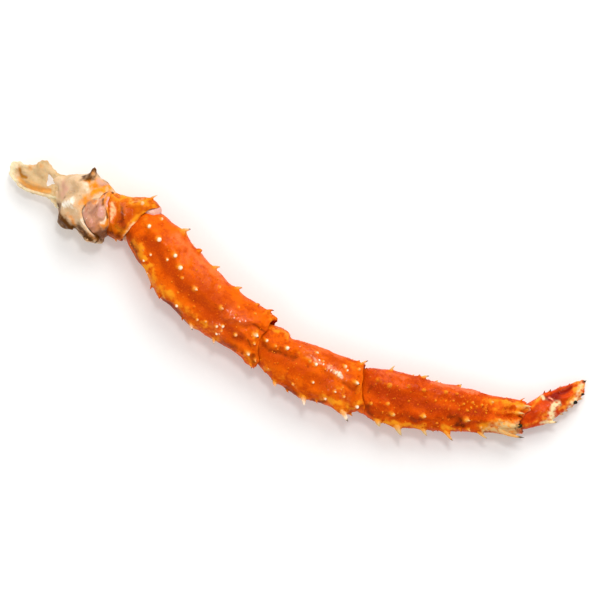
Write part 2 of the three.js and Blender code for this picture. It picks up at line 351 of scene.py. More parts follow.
def carried(path, radius, cols, flat=1.0, up=(0.0, 0.0, 1.0)):
    """Round skins carried along paths (many, rows, 3) with a radius at each row, and ends
    drawn to a point. flat squeezes them along the direction nearest up."""
    ahead = np.gradient(path, axis=1)
    ahead /= np.linalg.norm(ahead, axis=2, keepdims=True)
    tilted = np.asarray(up, float) + 0.01 * np.array([0.3, 0.5, 0.2])  # no path runs along it
    across = np.cross(ahead, np.broadcast_to(tilted, ahead.shape))
    across /= np.linalg.norm(across, axis=2, keepdims=True)
    lift = np.cross(across, ahead)
    turn = np.linspace(0, 2 * np.pi, cols, endpoint=False)[None, None, :, None]
    offset = across[:, :, None] * np.cos(turn) + lift[:, :, None] * np.sin(turn) * flat
    return path[:, :, None] + radius[:, :, None, None] * offset


FLAP_OUTLINE = [
    (38, 13), (34, 13.9), (30.3, 14), (27.6, 13.4), (23.5, 14.4), (18.9, 16.6), (16, 18.2), (14.2, 17.4),
    (12, 15.4), (10.2, 12.2), (7.2, 10.6), (4.2, 9.3), (-0.4, 9.5), (-3.9, 8.3), (-4.8, 6), (-4.2, 2),
    (-2.3, -1.2), (1.2, -3.3), (5, -5.1), (11.2, -5.9), (18.3, -5.5), (25.1, -4.5), (28.6, -4.3),
    (32.4, -6.2), (35.9, -7.4), (38.5, -6), (39.5, 3), (39.5, 9),
]
FAR_BORDER, LOWER_BORDER = FLAP_OUTLINE[13:18], FLAP_OUTLINE[17:22]
FLAP_WINDOW_MIDDLE = (24.2, 6.9)
# Reach of the window's torn edge from its middle, against the direction in degrees.
FLAP_WINDOW = [
    (-180, 2.3), (-150, 2.6), (-120, 3.6), (-100, 4.3), (-80, 3.1), (-50, 2.3), (-20, 3.1), (0, 5.2),
    (12, 4), (40, 2.2), (75, 1.9), (110, 2.6), (135, 4.6), (150, 3.6), (180, 2.3),
]
FLAP_HEIGHTS = [(-5, 9.2), (6, 10.6), (16, 12.4), (28, 14.2), (40, 15.8)]
FLAP_STRIPE = [(4, -0.6), (9, -2.2), (14, -3), (20, -1.9), (26, 0.6)]
FLAP_SCORCH = [(1.8, 5.3), (3.2, 2.9), (5.2, 1.6), (8, 1.9)]
FLAP_TENDON = [(4, -4.4), (11, -5.2), (18, -4.5), (25, -3.3), (31, -2), (36, -1.4)]
# The borders curl, the far one up and the lower one down, and the plate is ribbed between them.
FLAP_RELIEF = [
    (*FAR_BORDER, 2.4, 1.6), (*LOWER_BORDER, 1.6, -0.8), (*FLAP_STRIPE, 1.5, -0.8),
    ((8, 0.4), (14, -0.4), (20, 0.8), 1.5, 0.7), (*FLAP_SCORCH, 1.6, -0.6),
    ((14, 12), (15.5, 17), 3, 1.4), ((3, 8.5), (8, 9.6), 1.6, 0.9),
    ((20, 12.5), (28, 11.5), (36, 9), 2, 1), ((9, 5.5), (16, 6.8), 3, -0.5),
    ((28, -1), (33, -3), 2, 0.6),
]
FLAP_STAINS = {
    "scorch_and_shade": [(*FLAP_SCORCH, 1.35, 0.9), ((29, 3.9), 0.8, 0.5)],
    "gold": [
        (*FLAP_STRIPE, 1.7, 0.75), ((14, -2.2), (25, -0.6), 2.2, 0.4), ((8, 8.6), 1.9, 0.5),
        ((14, 13), 2.2, 0.4), ((10, 0.6), (20, 0.5), 2, 0.35), ((20, -5), (30, -4.4), 0.7, 0.6),
    ],
    "rose_and_sheen": [((1.2, 6.2), (2.5, 0.5), 1.6, 0.5), ((33, 2), 3, 0.5)],
    "pale": [((-2.6, 7), (-2.2, 0), (2, -3.4), 2.8, 0.85)],
    "deep_tone_and_shade": [((-2, 6.5), (-1, 0), 1.5, 0.5)],
    "wet": [((2, 4), (30, 6), 5, 1)],
}


def outline_of(points, count):
    """A closed smooth line through the points, sampled evenly by length: the curve through each
    coordinate against the length walked, with the points repeated past both ends."""
    points = np.asarray(points, float)
    lap = np.concatenate([points[-3:], points, points[:4]])
    walked = np.concatenate([[0], np.cumsum(np.hypot(*np.diff(lap, axis=0).T))])
    start, stop = walked[3], walked[3 + len(points)]
    at = np.linspace(start, stop, count, endpoint=False)
    rows = np.column_stack([walked, lap])
    return np.stack([through(rows, 1, at), through(rows, 2, at)], -1)


def flap_skin():
    """A ring-shaped sheet: straight lines join the window's edge to the outline in the same
    direction, and its thickness follows half an ellipse from one edge to the other."""
    cols, rows = 300, 84
    rim = outline_of(FLAP_OUTLINE, cols)
    middle = np.array(FLAP_WINDOW_MIDDLE)
    towards = np.degrees(np.arctan2(rim[:, 1] - middle[1], rim[:, 0] - middle[0]))
    way = np.stack([np.cos(np.radians(towards)), np.sin(np.radians(towards))], -1)
    inner = middle + through(FLAP_WINDOW, 1, towards)[:, None] * way
    turn = np.linspace(0, 2 * np.pi, rows, endpoint=False)[:, None]
    out = (1 - np.cos(turn)) / 2
    s = inner[:, 0] * (1 - out) + rim[:, 0] * out
    y = inner[:, 1] * (1 - out) + rim[:, 1] * out
    flat = np.stack([s, y, np.zeros_like(s)], -1)
    ragged = np.stack([lumps(flat, 3.2, seed=11), lumps(flat, 3.2, seed=12)], -1) * 0.22
    s, y = s + ragged[..., 0] * out, y + ragged[..., 1] * out
    border = away(s, y, FLAP_OUTLINE + FLAP_OUTLINE[:1])
    thick = (0.55 + 0.5 * smooth(border, 0.5, 5)) * np.abs(np.sin(turn)) ** 0.4
    folds = 0.18 * lumps(flat * [0.45, 1.4, 1], 6.5, seed=13) + 0.06 * lumps(flat, 2.6, seed=14)
    ground = through(FLAP_HEIGHTS, 1, s) + rise_of(s, y, FLAP_RELIEF)
    z = ground + folds + thick * np.sign(np.sin(turn))
    marks = {mark: stain_of(s, y, strokes) for mark, strokes in FLAP_STAINS.items()}
    edge = 1 - smooth(border, 0.4, 3.2)
    margin = edge * smooth(-s, -9, -1) + edge * smooth(-y, -1, 4) * 0.7
    marks["pale"] = np.maximum(np.clip(margin, 0, 1) * 0.8, marks["pale"])
    marks["wet"] = 0.4 * marks["wet"]
    return {
        "points": in_place(np.stack([s, y, z], -1), ("root", "shoulder"))[None],
        "torus": True,
        "marks": {mark: value[None] for mark, value in marks.items()},
    }


def flap_tendon():
    """A slack strand that lies along the flap's lower edge: a tube on a smooth line."""
    rows = np.column_stack([np.linspace(0, 1, len(FLAP_TENDON)), FLAP_TENDON])
    t = np.linspace(0, 1, 60)
    s, y = through(rows, 1, t), through(rows, 2, t)
    z = through(FLAP_HEIGHTS, 1, s) + 0.9
    path = np.stack([s, y, z], -1)[None]
    radius = 1.05 * np.sqrt(np.clip(1 - (2 * t - 1) ** 10, 0, 1)) * (1 + 0.12 * np.sin(t * 31))
    points = carried(path, radius[None], 14, flat=0.8)
    return {
        "points": in_place(points, ("root", "shoulder")),
        "marks": {"pale": 0.5, "gold": 0.12},
    }


flap_finish = layered(
    "flap_cartilage", "CFAF82", "C09C6A",
    {"gold": "E09A44", "rose_and_sheen": "DCAA88", "pale": "E4D6B0", "deep_tone_and_shade": "CFC29A", "scorch_and_shade": "A5670C"},
    rough=0.42, bump_mm=0.1, constants=fleshy(0.25, 0.12, 0.15), coat=0.03,
)
flap = add_piece("flap", [flap_skin(), flap_tendon()], flap_finish)
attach(flap, "root")
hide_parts("shoulder_flap")

# ------------------------------------------------------------------------ coxa
# The first, short and pale segment of the shell. It has a dark jagged crest on its upper edge
# and two scorched knobs on the lower one, and its far rim draws back into a bay that the pink
# skin of the hip fills.

SECTION_POWER = 2.4  # how square a cross-section is: 2 is an ellipse
NECK_DEPTH = 7.0  # how far a segment reaches into the rim before it
NECK_ROWS, NECK_CAP_ROWS = 9, 9
LIP = 0.32  # half the thickness of the shell at a rim
LIP_ROWS = 9
SOCKET_DEPTH = 9.0
SOCKET_ROWS = (1, 2.2, 3.6, 5.2, 7, SOCKET_DEPTH)  # depths of the inner wall's rows in the rim
THORN_BUMP = 0.42  # how far along a thorn the swelling of the shell round its foot reaches
CLEAR_OF_GROUND = 1.2  # no wart stands lower, where the leg lies on the plate


def round_section(plan, s, turn):
    """Point of a segment's cross-section in a direction: half breadth and half depth times the
    squared-off circle |x|^p + |y|^p = 1, about the middle of the section."""
    low, high = through(plan["edges"], 1, s), through(plan["edges"], 2, s)
    under, over = through(plan["heights"], 1, s), through(plan["heights"], 2, s)
    x, z = np.cos(turn), np.sin(turn)
    size = (np.abs(x) ** SECTION_POWER + np.abs(z) ** SECTION_POWER) ** (1 / SECTION_POWER)
    return {
        "side": x / size, "rise": z / size, "across": (low + high) / 2, "up": (under + over) / 2,
        "breadth": (high - low) / 2, "depth": (over - under) / 2,
    }


def lift_at(side):
    """Share of the half depth at a share of the half breadth, on the squared-off circle."""
    return (1 - np.abs(side) ** SECTION_POWER) ** (1 / SECTION_POWER)


def end_line(rows, side, rise):
    """How far along an end lies, from [side, on the shown face, on the underside]: the side runs
    from -1 on the lower edge to 1 on the upper one."""
    return np.where(rise >= 0, through(rows, 1, side), through(rows, 2, side))


def outward(points):
    """Unit normals of a grid closed round its columns: the cross product of the differences
    between the neighbours of each point, round and along."""
    round_step = np.roll(points, -1, axis=1) - np.roll(points, 1, axis=1)
    along_step = np.gradient(points, axis=0)
    normal = np.cross(round_step, along_step)
    size = np.linalg.norm(normal, axis=2, keepdims=True)
    return normal / np.maximum(size, 1e-9)


def thorn_places(plan):
    """Feet on the plain section, shares of the half breadth, tips and radii of the thorns in a
    segment's table. A stubby thorn is a little thinner."""
    s, y, tip_s, tip_y, height, radius = np.array(plan["thorns"], float).T[:6]
    part = round_section(plan, s, np.zeros_like(s))
    side = np.clip((y - part["across"]) / part["breadth"], -0.997, 0.997)
    across = part["across"] + part["breadth"] * side
    up = part["up"] + part["depth"] * lift_at(side)
    foot, tip = np.stack([s, across, up], -1), np.stack([tip_s, tip_y, up + height], -1)
    stubby = 1 - smooth(np.linalg.norm(tip - foot, axis=1) / radius, 1.2, 2.4)
    return foot, side, tip, radius * (1.12 - 0.06 * stubby)


def swellings(plan, points):
    """How the shell swells towards its thorns, and the halos round their feet: a bell of the
    distance from just above each foot, longer on the side away from the claw."""
    swell, halo = np.zeros(points.shape), 0
    feet, _, tips, radii = thorn_places(plan)
    for foot, tip, radius, (*_, pale, _) in zip(feet, tips, radii, plan["thorns"]):
        gap = points - (foot + 0.15 * (tip - foot))
        length = np.where(gap[..., 0] < 0, 1.75, 1.1) * radius
        apart = (gap[..., 0] / length) ** 2 + (gap[..., 1:] ** 2).sum(-1) / (1.3 * radius) ** 2
        swell += (THORN_BUMP * np.exp(-apart))[..., None] * (tip - foot)
        halo = np.maximum(halo, min(1, 1.3 * pale) * np.exp(-1.3 * apart))
    return swell, halo


def patches(mark, placed):
    """How patchy golden, pale and scorched stains and painted shade are: a share of 1 with soft gaps."""
    if mark == "scorch_and_shade":
        return np.clip(0.95 + 0.12 * lumps(placed, 4.5, seed=30), 0.7, 1)
    if mark == "gold":
        return np.clip(0.85 + 0.3 * lumps(placed, 5, seed=27), 0.3, 1)
    if mark == "pale":
        return np.clip(0.95 + 0.3 * lumps(placed, 2.4, seed=29), 0.4, 1)
    return 1.0


def shell_rows(plan, step):
    """Rows of a shell as columns, and which of them are its body. A row is its share of the way
    along the body, how far past that it lies, its share of the section, and its inset. They run
    from the round neck along the body to the far rim, round the lip and back down the inner
    wall to the bottom of the socket, or round a tip."""
    neck = plan.get("neck", NECK_DEPTH)
    cap = min(plan.get("cap", 2.5), neck)
    cap_turn = np.linspace(0, np.pi / 2, NECK_CAP_ROWS)
    rows = [(0, cap * (1 - math.cos(a)) - neck, math.sin(a) ** 0.7, 0) for a in cap_turn]
    rows += [(0, off, 1, 0) for off in np.linspace(cap - neck, 0, NECK_ROWS + 2)[1:-1]]
    count = int(plan["edges"][-1][0] / step)
    body = slice(len(rows), len(rows) + count)
    rows += [(share, 0, 1, 0) for share in np.linspace(0, 1, count)]
    if "tip" in plan:
        tip_turn, cap = np.linspace(np.pi / 2, 0, 12)[1:], plan["tip"]
        rows += [(1, cap * math.cos(a), math.sin(a) ** 0.8, 0) for a in tip_turn]
    else:
        lip_turn = np.linspace(0, np.pi, LIP_ROWS)[1:]
        rows += [(1, LIP * math.sin(a), 1, LIP * (1 - math.cos(a))) for a in lip_turn]
        rows += [(1, -off, 1, 2 * LIP + 0.12 * off) for off in SOCKET_ROWS]
        rows += [(1, -SOCKET_DEPTH - 0.8, full, 2.3) for full in (0.85, 0.55, 0.25, 0)]
    return np.array(rows).T[:, :, None], body


def shell_marks(plan, spot):
    """Marks of a shell: its stains, painted shade, painted sheen and painted glints, which wander off
    their strokes and fade on the underside, with patches, halos round the thorns, speckles and
    painted glints, painted shade in the socket and on the neck, and a pale lip."""
    stray = 0.6 + 2.4 * smooth(-spot["rise"], -0.1, 0.5)
    s = spot["points"][..., 0] + stray * spot["wander"][..., 0]
    y = spot["points"][..., 1] + stray * spot["wander"][..., 1]
    placed, halo = spot["placed"], spot["halo"]
    marks = {mark: stain_of(s, y, plan["stains"].get(mark, [])) for mark in MARKS}
    low = plan.get("scorch_and_shade_down", 0.6)
    faded = smooth(-spot["rise"], low - 0.7, low) * (0.75 + 0.35 * lumps(placed, 7, seed=28))
    marks["scorch_and_shade"] *= 1 - np.clip(faded, 0, 0.95)
    for mark in ("scorch_and_shade", "gold", "pale"):
        marks[mark] *= patches(mark, placed)
    marks["gold"] = np.maximum(marks["gold"], 0.9 * halo)
    marks["pale"] = np.maximum(marks["pale"], 0.55 * halo ** 2.5)
    for mark in ("scorch_and_shade", "deep_tone_and_shade"):
        marks[mark] = marks[mark] * (1 - 0.7 * halo)
    for mark, strokes in plan.get("speckles_and_glints", {}).items():
        flecks = np.clip(1.1 * spot["grain"] * stain_of(s, y, strokes), 0, 0.85)
        marks[mark] = np.maximum(marks[mark], flecks)
    # Painted shade: the socket's inner wall and the neck under the rim before it are darkened with the
    # scorch tone.
    hidden = ~spot["outer"] * smooth(spot["inset"], LIP, 2.2 * LIP)
    dark = hidden * plan.get("inner_painted_shade", 0.6)
    if "neck" not in plan:
        neck_painted_shade = (1 - smooth(spot["past_neck"], -4, 0.5)) * plan.get("neck_painted_shade", 0.3)
        dark = np.maximum(dark, neck_painted_shade)
    marks["scorch_and_shade"] = np.maximum(marks["scorch_and_shade"], dark)
    lip = 0 if "tip" in plan else np.exp(-(spot["to_rim"] ** 2))
    rim_pale = plan.get("lip_pale", 0.06)
    if "lip_where" in plan:
        rim_pale = rim_pale * stain_of(s, y, plan["lip_where"])
    marks["pale"] = np.maximum(marks["pale"], lip * rim_pale * (1 - hidden))
    marks["gold"] = np.maximum(marks["gold"], lip * 0.2 * (1 - hidden))
    return marks


def shell_skin(plan, step, cols):
    """A segment's shell: its rows on its sections, between end lines that depend on the
    direction alone. Ridges, hollows, lumps, grains and the swellings round the thorns are
    raised along the normal."""
    (share, offset, full, inset), body_rows = shell_rows(plan, step)
    turn = np.linspace(0, 2 * np.pi, cols, endpoint=False)[None]
    start = round_section(plan, 0, turn)
    near = end_line(plan["near"], start["side"], start["rise"])
    far = end_line(plan["far"], start["side"], start["rise"])
    far = far + plan.get("ragged", 0.35) * np.sin(turn * 9 + 1) * np.sin(turn * 4)
    along = near + (far - near) * share + offset
    past_neck, to_rim = along - near, far - along
    outer = inset == 0
    inset = inset + plan.get("neck_inset", 1.3) * (1 - smooth(past_neck, -3, 3.5)) * outer
    body = (full > 0.99) * smooth(past_neck, -1, 3)
    if "tip" not in plan:
        inset = inset - plan.get("flare", 0.15) * np.exp(-((to_rim / 1.8) ** 2))
        body = body * smooth(to_rim, -0.2, 1.2)
    part = round_section(plan, along, turn)
    y = part["across"] + (part["breadth"] - inset) * part["side"] * full
    if "crest" in plan:
        y = y + through(plan["crest"], 1, along) * smooth(part["side"], 0.5, 1) ** 1.5 * outer
    z = part["up"] + (part["depth"] - inset) * part["rise"] * full
    points = np.stack([along, y, z], -1)
    placed = in_place(points, plan["joints"])
    wander = np.stack([lumps(placed, 9, seed=21), lumps(placed, 9, seed=22)], -1) * 0.9
    grain = np.maximum(lumps(placed, 2.3, seed=25) - 0.7, 0)
    s, v = along + wander[..., 0] * 0.7, y + wander[..., 1] * 0.7
    relief = rise_of(s, v, plan["relief"]) * (0.35 + 0.65 * smooth(part["rise"], -0.3, 0.15))
    relief += plan.get("lumpy", 0.2) * lumps(placed, 13, seed=23) + 0.05 * lumps(placed, 4.2, seed=24)
    relief += plan.get("grainy", 0.08) * grain * smooth(lumps(placed, 16, seed=26), -0.8, 0.8)
    relief += 0.22 * grain * stain_of(s, v, plan["stains"].get("wet", [])) ** 2
    for at, groove, depth in plan.get("rings", []):
        relief += depth * np.exp(-(((to_rim - at) / groove) ** 2))
    relief = relief * np.where(outer, 1, -1)
    swell, halo = swellings(plan, points)
    points = points + (outward(points) * relief[..., None] + swell) * body[..., None]
    marks = shell_marks(plan, {
        "points": points, "placed": placed, "wander": wander, "grain": grain, "halo": halo,
        "rise": part["rise"], "outer": outer, "inset": inset, "past_neck": past_neck,
        "to_rim": to_rim,
    })
    return {
        "points": in_place(points, plan["joints"])[None],
        "marks": {mark: value[None] for mark, value in marks.items()},
        "ground": (points[body_rows], near[0], far[0]),
    }


def planted(ground, s, side, face):
    """Points and outward directions of a finished shell nearest to places on it, given as the
    way along, the share of the half breadth and the face, and which places it reaches."""
    points, near, far = ground
    turn = np.arctan2(face * lift_at(side), side) / (2 * np.pi)
    col = np.round(turn * len(near)).astype(int) % len(near)
    share = (s - near[col]) / (far[col] - near[col])
    there = (share > 0.03) & (share < 1 - 2.5 / (far[col] - near[col]))
    row = np.round(np.clip(share, 0, 1) * (len(points) - 1)).astype(int)
    return points[row, col], outward(points)[row, col], there


def thorn_skins(plan, feet, normals, tips, radius, pale, dark, blunt, rows=11, cols=12):
    """Thorns with sunk, flared feet. The axis is a curve that leaves the shell along the normal
    and bends to the tip, and the radius tapers as a flared cone or, where blunt, as a dome."""
    t = np.linspace(0, 1, rows)
    t = (0.55 * t + 0.45 * t * t)[None, :]
    reach = np.linalg.norm(tips - feet, axis=1)[:, None]
    lean = 1 - np.clip(((tips - feet) / reach * normals).sum(1), 0, 1)
    start = feet - normals * ((0.4 + 0.5 * lean) * radius)[:, None]
    bend = feet + normals * (0.14 * reach) + (tips - feet) * 0.42
    a, b, c = ((1 - t) ** 2)[..., None], (2 * t * (1 - t))[..., None], (t ** 2)[..., None]
    path = a * start[:, None] + b * bend[:, None] + c * tips[:, None]
    cone = 0.74 * (1 - t) ** 0.62 + 0.26 * np.exp(-t / 0.2)
    dome = 1.05 * np.sqrt(np.clip(1 - t ** 2.6, 0, 1))
    blunt = blunt[:, None]
    tube = radius[:, None] * (cone * (1 - blunt) + dome * blunt)
    tube = np.where(t >= 1, 0, tube * np.sqrt(np.clip(t / 0.12, 0, 1)))
    points = carried(path, tube, cols, up=(0.31, 0.12, 0.94))
    rise = np.broadcast_to(t[..., None], points.shape[:3])
    pale, dark = pale[:, None, None], dark[:, None, None]
    # Darkness above 1 colours the whole thorn, by the part above 1, and not its tip alone.
    tipped = smooth(rise, 0.74, 0.9) * np.minimum(dark, 1)
    whole = smooth(rise, -0.2, 0.5) * (dark - 1)
    spiky = 1 - blunt[:, :, None]
    paler = np.clip((rise - 0.3 + 0.15 * spiky) / 0.65, 0, 1) * np.minimum(pale ** 2, 1)
    placed = in_place(points, plan["joints"])
    marks = {}
    for mark in ("scorch_and_shade", "gold", "rose_and_sheen", "deep_tone_and_shade", "pale"):
        local = stain_of(points[..., 0], points[..., 1], plan["stains"].get(mark, []))
        kept = 1 if mark == "pale" else 1 - smooth(rise, 0.2, 0.6) * smooth(pale, 0, 0.4)
        marks[mark] = local * kept * patches(mark, placed)
    marks["pale"] = np.maximum(marks["pale"], paler)
    marks["tip"] = np.where(dark > 1, whole, tipped)
    marks["gold"] = np.maximum(marks["gold"], smooth(rise, 0, 0.2) * np.minimum(1, 1.3 * pale))
    marks["wet"] = 0.2
    return {"points": placed, "marks": marks}


def thorns(plan, ground):
    """The thorns of a segment's table, those under it, and many small warts over all of it."""
    foot, side, tip, radius = thorn_places(plan)
    found, normal, _ = planted(ground, foot[:, 0], side, 1)
    seat = found - THORN_BUMP * (tip - foot)
    tip[:, 2] += seat[:, 2] - foot[:, 2]
    pale, dark = np.array(plan["thorns"], float).T[6:]
    spiky = smooth(np.linalg.norm(tip - seat, axis=1) / radius, 1.1, 2.2)
    shown = thorn_skins(plan, seat, normal, tip, radius, pale, dark, 1 - spiky)

    dice = np.random.default_rng(plan["seed"])
    s, side = np.array(plan["under"], float).T
    foot, normal, _ = planted(ground, s, side, -1)
    size = dice.uniform(1.9, 3.4, len(foot))  # their length in millimetres
    tip = foot + normal * size[:, None] + np.array([1.0, 0, 0]) * (size * 0.7)[:, None]
    pale, blunt = np.full(len(foot), 0.85), np.zeros(len(foot))
    dark = (dice.uniform(0, 1, len(foot)) > 0.5).astype(float)
    under = thorn_skins(plan, foot, normal, tip, size * 0.62, pale, dark, blunt)

    count = plan["warts"]
    near, far = plan["edges"][0][0] + 8, plan["edges"][-1][0] - 3
    s, side = dice.uniform(near, far, count), dice.uniform(-0.96, 0.96, count)
    face = np.where(dice.uniform(0, 1, count) < 0.62, 1.0, -1.0)
    size, pale = dice.uniform(0.4, 0.75, count) ** 1.3, dice.uniform(0.05, 0.35, count)
    foot, normal, there = planted(ground, s, side, face)
    there &= foot[:, 2] > CLEAR_OF_GROUND
    foot, normal, size, pale = foot[there], normal[there], size[there], pale[there]
    tip = foot + normal * (0.55 * size + 0.2)[:, None] + np.array([0.3, 0, 0]) * size[:, None]
    dark, blunt = np.zeros(len(foot)), np.full(len(foot), 0.9)
    warts = thorn_skins(plan, foot, normal, tip, size, pale, dark, blunt, rows=6, cols=8)
    return [shown, under, warts]


def segment(name, plan, step, cols, finish):
    """A shell with all its thorns as one piece. Its grid has a row for each step in millimetres
    along it, and that many columns round it."""
    shell = shell_skin(plan, step, cols)
    return add_piece(name, [shell, *thorns(plan, shell["ground"])], finish)


# A segment's table is in millimetres along and across it from its first joint. near and far
# are the places of its ends against the side, on the shown face and on the underside. edges
# are the lower and the upper edge, heights the underside and the shown face, and crest how far
# the upper edge stands out. A stroke of relief or of a stain is the points of its path, half
# its width, and its height or strength. A ring of relief is its distance from the far rim,
# half its width, and its height. A thorn is its foot along and across, its tip along and
# across, its rise, radius, paleness and darkness. under gives thorns of the underside, by the
# way along and the share of the half breadth.
COXA = {
    "joints": ("shoulder", "hip"),
    "seed": 31,
    "near": [(-1, -1.5, -1.5), (-0.6, 1.5, 0), (0, 0, 0), (0.6, -3, -3), (1, -4, -4)],
    "far": [
        (-1, 35.5, 36.5), (-0.9, 32.5, 37), (-0.8, 30, 37.5), (-0.68, 25.6, 37.5), (-0.6, 21, 38),
        (-0.42, 18.2, 38), (-0.25, 17.4, 38), (-0.02, 17.6, 38), (0.21, 20.4, 37.5), (0.42, 23.7, 37),
        (0.64, 26.2, 37), (0.84, 28.4, 36.5), (0.93, 31.5, 36), (1, 34.5, 35.5),
    ],
    "edges": [
        (-4, -1, 13.8), (1, -8, 15.6), (3, -12.5, 16), (5, -15.4, 16.4), (8, -17.2, 17.2),
        (12, -16.9, 17.6), (15.5, -15.9, 17.6), (20, -18.5, 17.2), (27, -21.7, 16.4), (33, -19.6, 14.4),
        (38.5, -14.5, 11),
    ],
    "heights": [
        (-4, 11.5, 17.4), (0, 7, 20.6), (4, 3, 25), (8, 1, 28.6), (16, -0.5, 31.6), (28, 0, 31),
        (38.5, 3, 27),
    ],
    "neck": 4,
    "cap": 3.2,
    "inner_painted_shade": 0.2,
    "crest": [
        (7, 0), (11, 1.5), (13, 2.4), (15, 4.6), (16, 7), (16.8, 5.4), (19, 4), (22, 3.6), (26, 2.4),
        (30, 0.8), (33, 0),
    ],
    "neck_inset": 0.5,
    "flare": 0,
    "lumpy": 0.6,
    "grainy": 0.05,
    "ragged": 0.7,
    "lip_pale": 0.5,
    "lip_where": [((20, -10), (24, -13.5), (30, -17.5), 2.6, 1)],
    "scorch_and_shade_down": 0.26,
    "relief": [
        ((12, 19), (15.8, 22), (19, 19), (26, 17.6), 2, 0.8), ((14, 14), (20, 14), (26, 14.4), 1.4, -0.8),
        ((4.6, -14.5), 2.8, 1.6), ((8.5, -17.5), (12, -17), 3.2, 2.6), ((26, -20.5), 2.4, 1.6),
        ((31, -20), (34, -18), 2.4, 1.6), ((17, -16.5), 2.2, -0.2),
        ((17.6, -8.6), (21, -12), (25.5, -15.5), (30, -17.8), 1.7, 0.9),
        ((1, 3), (5, 5), (9, 8), 2.6, -1.2), ((8, 13), (15, 10), (20, 7), 2.4, 1),
        ((4, -3.4), (8.6, -1.4), 2.4, 1.3), ((8, -11), (14, -12.5), (22, -17.5), 2, -1.1),
        ((17, 4), (21, 8), (26, 12.5), 1.5, 0.9), ((14, 6), (19, 11), (24, 15), 1.2, -0.7),
        ((-1, 9), (6, 12), 2.5, 0.6),
    ],
    "stains": {
        "scorch_and_shade": [
            ((11.2, 18.8), (14.6, 23.4), 1.5, 0.97), ((15.8, 25.4), 1.4, 0.9),
            ((15.8, 25), (18.6, 21.8), (22.4, 20.8), (28.5, 18), 1.1, 1),
            ((14.4, 20.6), (17, 19.6), 2.6, 0.7), ((12.1, 18.6), (10.4, 14), 1.2, 0.7),
            ((11.4, 17.6), (14, 18.4), 1.8, 0.7), ((32, -17), (37, -13.4), 2.6, 0.9),
            ((0.2, -5.6), (1.6, -9.6), (3.8, -13.6), 2.5, 0.85), ((12.4, 16.6), (16.4, 17.6), 2.2, 0.75),
            ((4.4, -14.6), (8, -17.6), (12.6, -17.6), 4.2, 1), ((5, -12), (9, -15.4), 3, 0.85),
            ((15, -17), (22, -19.6), 1.8, 0.8), ((25.2, -19.4), (27.2, -20), 2.3, 1),
            ((31, -21), (29, -20), 2.4, 0.55), ((17, -13.6), (21.6, -16.8), (25, -18.6), 1.4, 0.7),
            ((34, -19), (36, -17), 2, 0.8), ((18, -15.4), (24, -18.4), 1.3, 0.45),
            # The first stroke on the next line is painted shade where the flap overlaps the coxa's nose.
            ((3.5, 1.5), (6, 4), 1.9, 0.4), ((8, 6), 2.4, 0.25), ((36, -13), (37, -9), 2.4, 0.8),
        ],
        "gold": [
            ((17, 3), (20, 8), (24, 12.5), (30, 15), 2.8, 0.9), ((18, 13.6), (30, 13.6), 3, 0.95),
            ((16, 14.5), (19, 16), 1.8, 0.75), ((14.5, -1), (16.5, 2.5), 1.3, 0.4),
            ((12, 15.8), (16, 16.4), 2.2, 0.75), ((14, -14), (26, -19), 1.5, 0.6),
            ((3, -9), (6, -11), 2.2, 0.45), ((17, -1), (19, 3), 2, 0.5), ((9, -8.6), (13, -11.4), 1.8, 0.5),
            ((15, 22), (17, 19), 2.6, 0.75), ((20, -10.4), (26, -15), (31, -17.4), 1.8, 0.4),
            ((27, -20), (32, -19.5), 3, 0.75), ((21, 9), (24, 13), 2, 0.5),
            ((19, 17.5), (24, 18), 1.6, 0.6),
        ],
        "rose_and_sheen": [
            ((0, 10), (2, 5), (1, 1), 2.6, 0.7), ((21, 18), (26, 16.8), 1.8, 0.85), ((11, 19), 1.2, 0.3),
            ((9, 12), 3, 0.25), ((19, 12), 1, 0.5),
        ],
        "pale": [
            ((4.4, -3.8), (8, -2), (9.4, 0), 2.4, 1), ((14, 12.6), (15.4, 9), 2, 0.45),
            ((19, -9.8), (25.5, -14.6), (30.4, -17.2), 1.3, 0.6), ((9, -5), (13, -5), 2, 0.3),
            ((6, 14), 2, 0.3),
        ],
        "deep_tone_and_shade": [
            ((11, -2), (15.6, -3), (17.6, -8), 2.6, 0.7), ((13, -10.4), 2.4, 0.6),
            ((3, -10), (8, -9), 2.6, 0.4),
        ],
        "wet": [((6, -3), 4, 0.3), ((14, 11), 5, 0.3)],
    },
    "thorns": [
        (15.6, 17.2, 16.1, 25.8, 0.4, 1.3, 0, 1.8), (30.6, -19.4, 32.8, -21, 0.3, 2, 0.1, 0.9),
        (25, -20, 25.4, -21.4, -0.5, 2.2, 0, 1.3),
    ],
    "under": [(12, 0.9), (22, 0.92)],
    "warts": 40,
}

coxa_finish = layered(
    "coxa_shell", "DFBE98", "D2AC80",
    {"deep_tone_and_shade": "E2AE7C", "gold": "EE8C1A", "rose_and_sheen": "D09C82", "pale": "F8ECD8", "scorch_and_shade": "5A3000",
     "tip": "3E2E10"},
    rough=0.4, bump_mm=0.16, constants=fleshy(0.12, 0.06, 0.12), coat=0.01,
)
coxa = segment("coxa_shell", COXA, step=0.3, cols=220, finish=coxa_finish)
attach(coxa, "root")
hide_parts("coxa")

# ------------------------------------------------------------------------ hip membrane
# The soft pink skin that closes the hip joint. It bulges out through the bay in the coxa's rim
# in wet folds, and is grown on to both segments.


